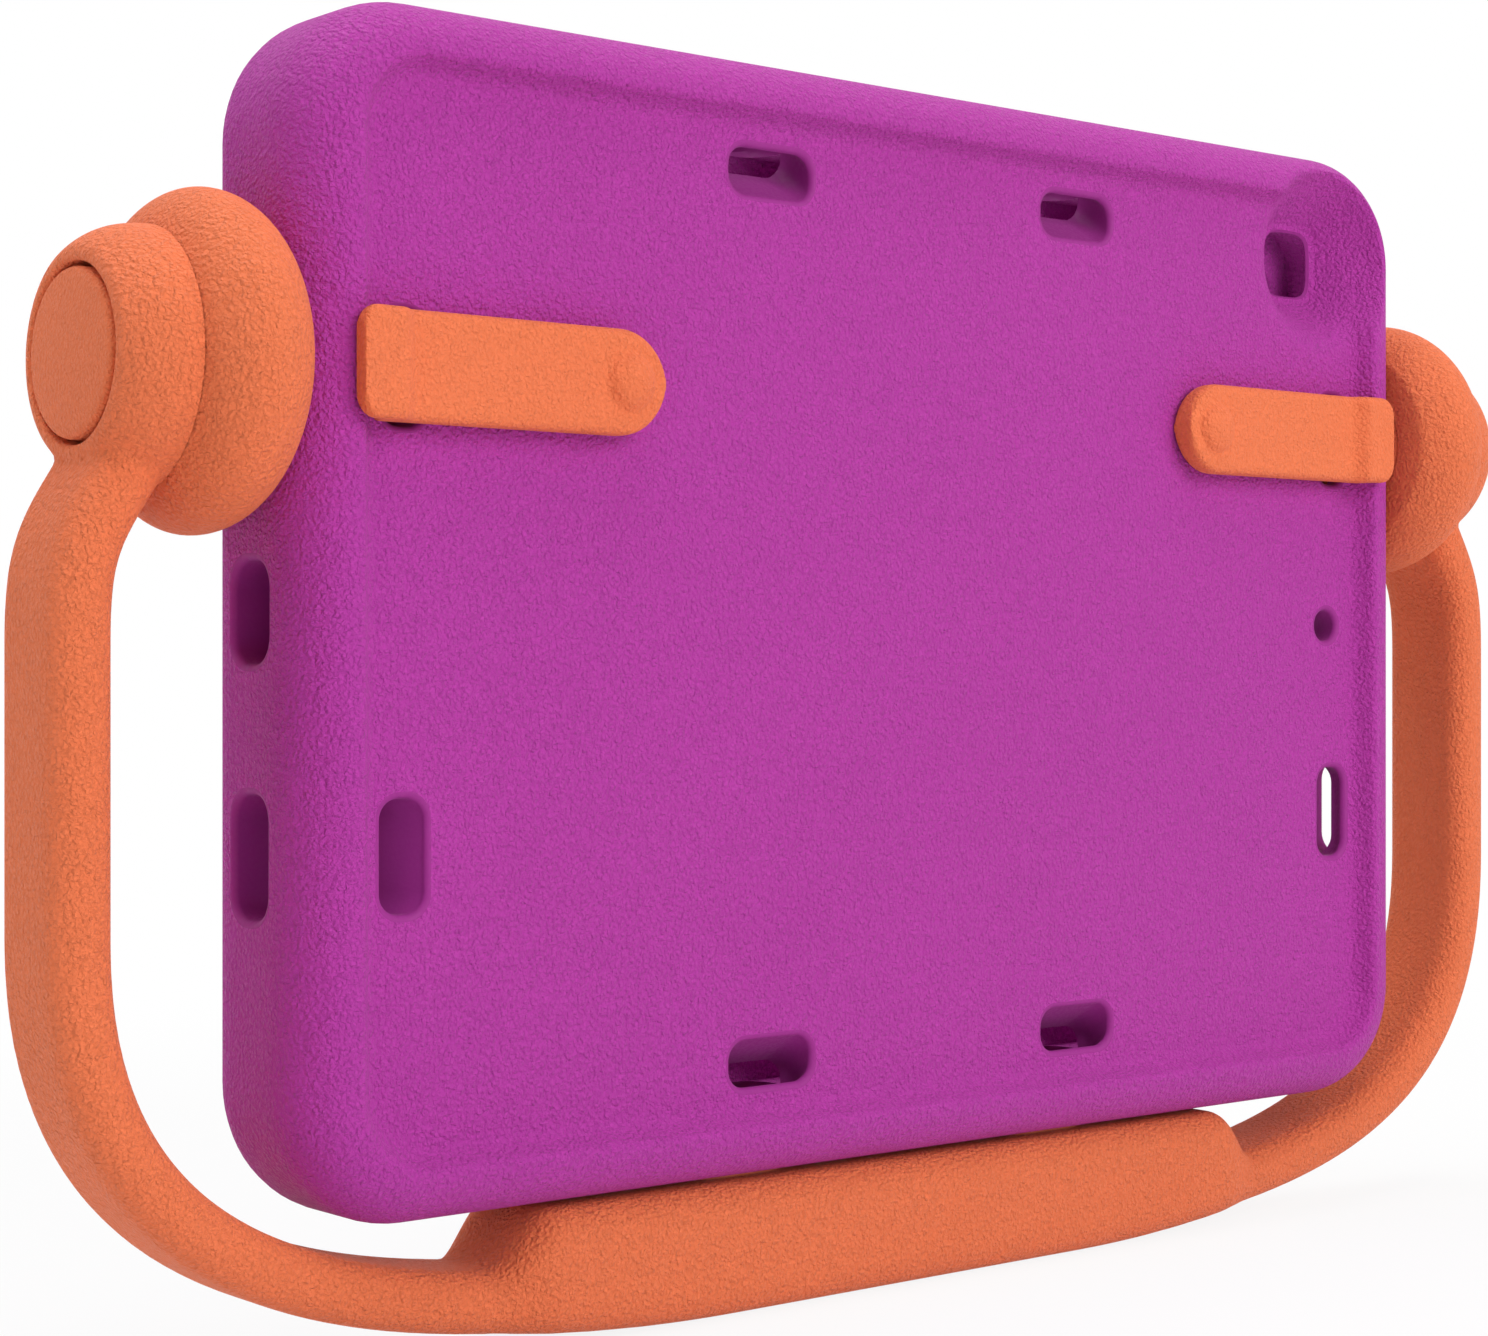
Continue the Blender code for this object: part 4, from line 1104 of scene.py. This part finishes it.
for sign in (1, -1):
    tool = turn(hub_tool_profile(), KNOB_STEPS)
    tidy(tool)
    if sign < 0:
        tool.transform(Matrix.Scale(-1, 4, Vector((1, 0, 0))))
    cut(handle, as_object("hub_tool", tool))
finish_piece(handle, "handle", ["handle"], sharp=45, weighted=False)

# %% [markdown]
# ## Flanges and caps
#
# The flange is the fixed foot that the hub turns on. The cap is a shallow dome that closes the hub. Both are
# turned, with every edge rounded in the section. The flange is hollow behind, where the hidden plate, the
# axle's head and the washer lie. The photograph shows the cap a little lower than it is deep, so its height
# is squashed by a few hundredths.

# %% Turn the flanges and caps
FLANGE_HOLLOWS = (
    (15.3 * MM, 0.0),
    (15.3 * MM, 2.8 * MM),
    (11.3 * MM, 2.8 * MM),
    (11.3 * MM, 5.6 * MM),
    (6.3 * MM, 5.6 * MM),
)


def flange_profile():
    """The flange as (radius, distance out): its dome, its back, and the steps of its hollow."""
    centre = FLANGE_WIDTH / 2 - FLANGE_DOME[0]
    points = flange_dome()
    wall = asin(FLANGE_SHOULDER / FLANGE_BACK)
    for step in range(1, FLANGE_BACK_STEPS + 1):
        angle = wall * step / FLANGE_BACK_STEPS
        points.append((centre + FLANGE_DOME[0] * cos(angle), FLANGE_WIDEST - FLANGE_BACK * sin(angle)))
    for radius, depth in FLANGE_HOLLOWS:
        points.append((radius, flange_low.x + depth))
    return points + [(FLANGE_HOLLOWS[-1][0], flange_high.x), (points[0][0], flange_high.x)]


CAP_SINK = 0.8 * MM
CAP_EDGE = 1.2 * MM
CAP_HOLLOW = 3.9 * MM
CAP_HOLLOW_DEPTH = 1.9 * MM
CAP_DOME_STEPS = 18
CAP_EDGE_STEPS = 5
CAP_SQUASH = 0.972
cap_low, cap_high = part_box("right_hub_cap")


def cap_profile():
    """The cap as (radius, distance out): a shallow dome, a round edge, and a hollow for the screw."""
    outer = CAP_WIDTH / 2
    rim = HUB_TOP - CAP_SINK
    top = cap_high.x
    dome = top - rim - CAP_EDGE
    points = []
    for step in range(CAP_DOME_STEPS):
        radius = (outer - CAP_EDGE) * step / CAP_DOME_STEPS
        points.append((radius, top - dome * (radius / (outer - CAP_EDGE)) ** 2))
    for step in range(CAP_EDGE_STEPS + 1):
        angle = pi / 2 * step / CAP_EDGE_STEPS
        points.append((outer - CAP_EDGE * (1 - sin(angle)), rim + CAP_EDGE * cos(angle)))
    hollow_top = cap_low.x + CAP_HOLLOW_DEPTH
    return points + [(outer, cap_low.x), (CAP_HOLLOW, cap_low.x), (CAP_HOLLOW, hollow_top), (0, hollow_top)]


for piece, profile, closed, material in (
    ("flange", flange_profile(), True, orange_foam),
    ("cap", cap_profile(), False, cap_foam),
):
    right = as_object(f"right_{piece}", turn(profile, KNOB_STEPS, closed), material)
    if piece == "cap":
        for vertex in right.data.vertices:
            vertex.co.z = between(PIVOT_Z, vertex.co.z, CAP_SQUASH)
    left = mirror_copy(right, f"left_{piece}")
    node = {"flange": "pivot_flange", "cap": "hub_cap"}[piece]
    finish_piece(right, "case", [f"right_{node}"])
    finish_piece(left, "case", [f"left_{node}"])

# %% [markdown]
# ## The clip straps
#
# A strap is firm rubber: a bar along the panel with a half-round end and a snap button, a thicker block over
# the rim, and a tongue that goes through the slot. The forms overlap, and are melted together like the
# handle's, on a finer grid. The bar is a row of sections that begins with its half-round end.

# %% Shape the strap's bar
STRAP_WIDTH = 18.6 * MM
STRAP_LOW = 0.3 * MM
STRAP_THICKNESS = 5.0 * MM
STRAP_REACH = 72.3 * MM
STRAP_OVERHANG = 9.0 * MM
BLOCK_RISE = 2.4 * MM
BLOCK_LENGTH = 9.6 * MM
BLOCK_STEP = 3.6 * MM
BLOCK_CORNER = 3.0 * MM
STRAP_EDGE = 1.6 * MM
STRAP_EDGE_STEPS = 5
BAR_END_STEPS = 14
BLOCK_STEP_STEPS = 8
BLOCK_CORNER_STEPS = 6
UNDER_RIM = (0.6 * MM, 1.2 * MM)


def strap_ring(out, half_width, low, high):
    """A section of the bar this far out, between two heights over the panel."""
    middle, half = (low + high) / 2, (high - low) / 2
    radius = min(STRAP_EDGE, 0.9 * half, 0.9 * half_width)
    outline = rounded_rectangle(half_width, half, radius, STRAP_EDGE_STEPS)
    return [Vector((out, PANEL_Y - middle - b, PIVOT_Z + a)) for a, b in outline]


def bar_rings():
    """Sections from the bar's tip to the block's outer corner, over the rim."""
    half = STRAP_WIDTH / 2
    tip = SHELL_X - STRAP_REACH
    outer = SHELL_X - STRAP_OVERHANG
    wall = SHELL_X - RIM_SIDE
    high = STRAP_LOW + STRAP_THICKNESS
    block = high + BLOCK_RISE
    rim = REAR_RIM + STRAP_LOW
    rings = []
    for step in range(1, BAR_END_STEPS + 1):
        angle = pi / 2 * step / BAR_END_STEPS
        rings.append(strap_ring(tip + half * (1 - cos(angle)), half * sin(angle), STRAP_LOW, high))
    step_out = outer - BLOCK_LENGTH
    for step in range(BLOCK_STEP_STEPS + 1):
        share = step / BLOCK_STEP_STEPS
        out = step_out + BLOCK_STEP * (share - 0.5)
        rings.append(strap_ring(out, half, STRAP_LOW, high + BLOCK_RISE * smooth_step(share)))
    rings.append(strap_ring(wall - COVE + UNDER_RIM[0], half, STRAP_LOW, block))
    rings.append(strap_ring(wall - UNDER_RIM[1], half, rim, block))
    for step in range(BLOCK_CORNER_STEPS + 1):
        angle = pi / 2 * step / BLOCK_CORNER_STEPS
        out = outer - BLOCK_CORNER * (1 - sin(angle))
        rings.append(strap_ring(out, half - BLOCK_CORNER * (1 - cos(angle)), rim, block))
    return rings


print("bar sections:", len(bar_rings()))

# %% [markdown]
# ### The strap's tongue
#
# The tongue starts inside the bar, goes down the slot's outer side, bends round the elbow and ends in the
# plate under the flange. Each of its sections is a line of two points, widened to a rectangle.

# %% Shape the strap's tongue
TONGUE = (15.0 * MM, 4.3 * MM)
TONGUE_GAPS = (0.9 * MM, 0.6 * MM)
PLATE = (15.0 * MM, 2.5 * MM)
PLATE_GAP = 0.3 * MM
PLATE_OUT = SHELL_X + PLATE_GAP


def tongue_rings():
    """Sections of the right strap's tongue, from inside the bar to inside the plate."""
    half = TONGUE[1] / 2
    wide = TONGUE[0] / 2
    rear = SHELL_X - REAR_MOUTH_INSET + REAR_MOUTH[1] - half - TONGUE_GAPS[0]
    elbow = SHELL_X - ELBOW_INSET
    shift = WALL_MOUTH[1] - half - TONGUE_GAPS[1]
    lines = []
    for depth in (-STRAP_THICKNESS / 2, MOUTH_LIP):
        lines.append([(rear + b, PANEL_Y + depth) for b in (-half, half)])
    lines.append([(elbow + ELBOW_TILT * (shift + b), -shift - b) for b in (-half, half)])
    lines.append([(SHELL_X - MOUTH_LIP, -b) for b in (-half, half)])
    lines.append([(PLATE_OUT + PLATE[1] / 2, -b) for b in (-half, half)])
    rings = []
    for near, far in lines:
        corners = ((near, wide), (far, wide), (far, -wide), (near, -wide))
        rings.append([Vector((x, y, PIVOT_Z + z)) for (x, y), z in corners])
    return rings


print("tongue sections:", len(tongue_rings()))

# %% [markdown]
# ### The button, and the strap as a whole
#
# The snap button is a low dome on the bar, over a peg that sits in the shell. All the forms are melted into
# one, and the left strap is the right one's mirror image.

# %% Build the straps
BUTTON_WIDTH = 9.8 * MM
BUTTON_RISE = 2.1 * MM
BUTTON_TIP = 0.05 * MM
BUTTON_SINK = 1.0 * MM
BUTTON_STEPS = 40
DOME_STEPS = 8
PEG = (2.7 * MM, 4.5 * MM)
PLATE_STEPS = 64
STRAP_VOXEL = 0.42 * MM
STRAP_PASSES = 2


def upright_turn(profile, bm):
    """Turns (radius, height over the panel) about an axis along Y through the button."""
    rings = []
    for radius, rise in profile:
        ring = []
        for step in range(BUTTON_STEPS):
            angle = 2 * pi * step / BUTTON_STEPS
            x, z = PEG_OUT + radius * cos(angle), PIVOT_Z + radius * sin(angle)
            ring.append(Vector((x, PANEL_Y - rise, z)))
        rings.append(ring)
    skin(rings, bm)


strap_bm = bmesh.new()
skin(bar_rings(), strap_bm)
skin(tongue_rings(), strap_bm)
top = STRAP_LOW + STRAP_THICKNESS
button = []
for step in range(DOME_STEPS + 1):
    angle = pi / 2 * step / DOME_STEPS
    button.append((max(BUTTON_WIDTH / 2 * sin(angle), BUTTON_TIP), top + BUTTON_RISE * cos(angle)))
upright_turn(button + [(BUTTON_WIDTH / 2, top - BUTTON_SINK)], strap_bm)
upright_turn([(PEG[0], BUTTON_SINK), (PEG[0], -PEG[1])], strap_bm)
tidy(strap_bm)
plate_top = PLATE_OUT + PLATE[1]
plate_profile = [(0, plate_top), (PLATE[0], plate_top), (PLATE[0], PLATE_OUT), (0, PLATE_OUT)]
turn(plate_profile, PLATE_STEPS, bm=strap_bm)
right_strap = as_object("right_strap", strap_bm, strap_rubber)
melt(right_strap, STRAP_VOXEL, STRAP_PASSES)
left_strap = mirror_copy(right_strap, "left_strap")
finish_piece(right_strap, "case", ["right_clip_strap"], weighted=False)
finish_piece(left_strap, "case", ["left_clip_strap"], weighted=False)

# %% [markdown]
# ## The hidden hardware
#
# Axles, bushes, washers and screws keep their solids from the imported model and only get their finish.

# %% Dress the hardware
for side in ("left", "right"):
    for piece in ("axle", "hub_bush", "retaining_washer", "axle_screw"):
        node = frame["nodes"][f"{side}_{piece}"]
        finish = screw_steel if piece == "axle_screw" else black_plastic
        node.data.materials.clear()
        node.data.materials.append(finish)
print("hardware dressed")
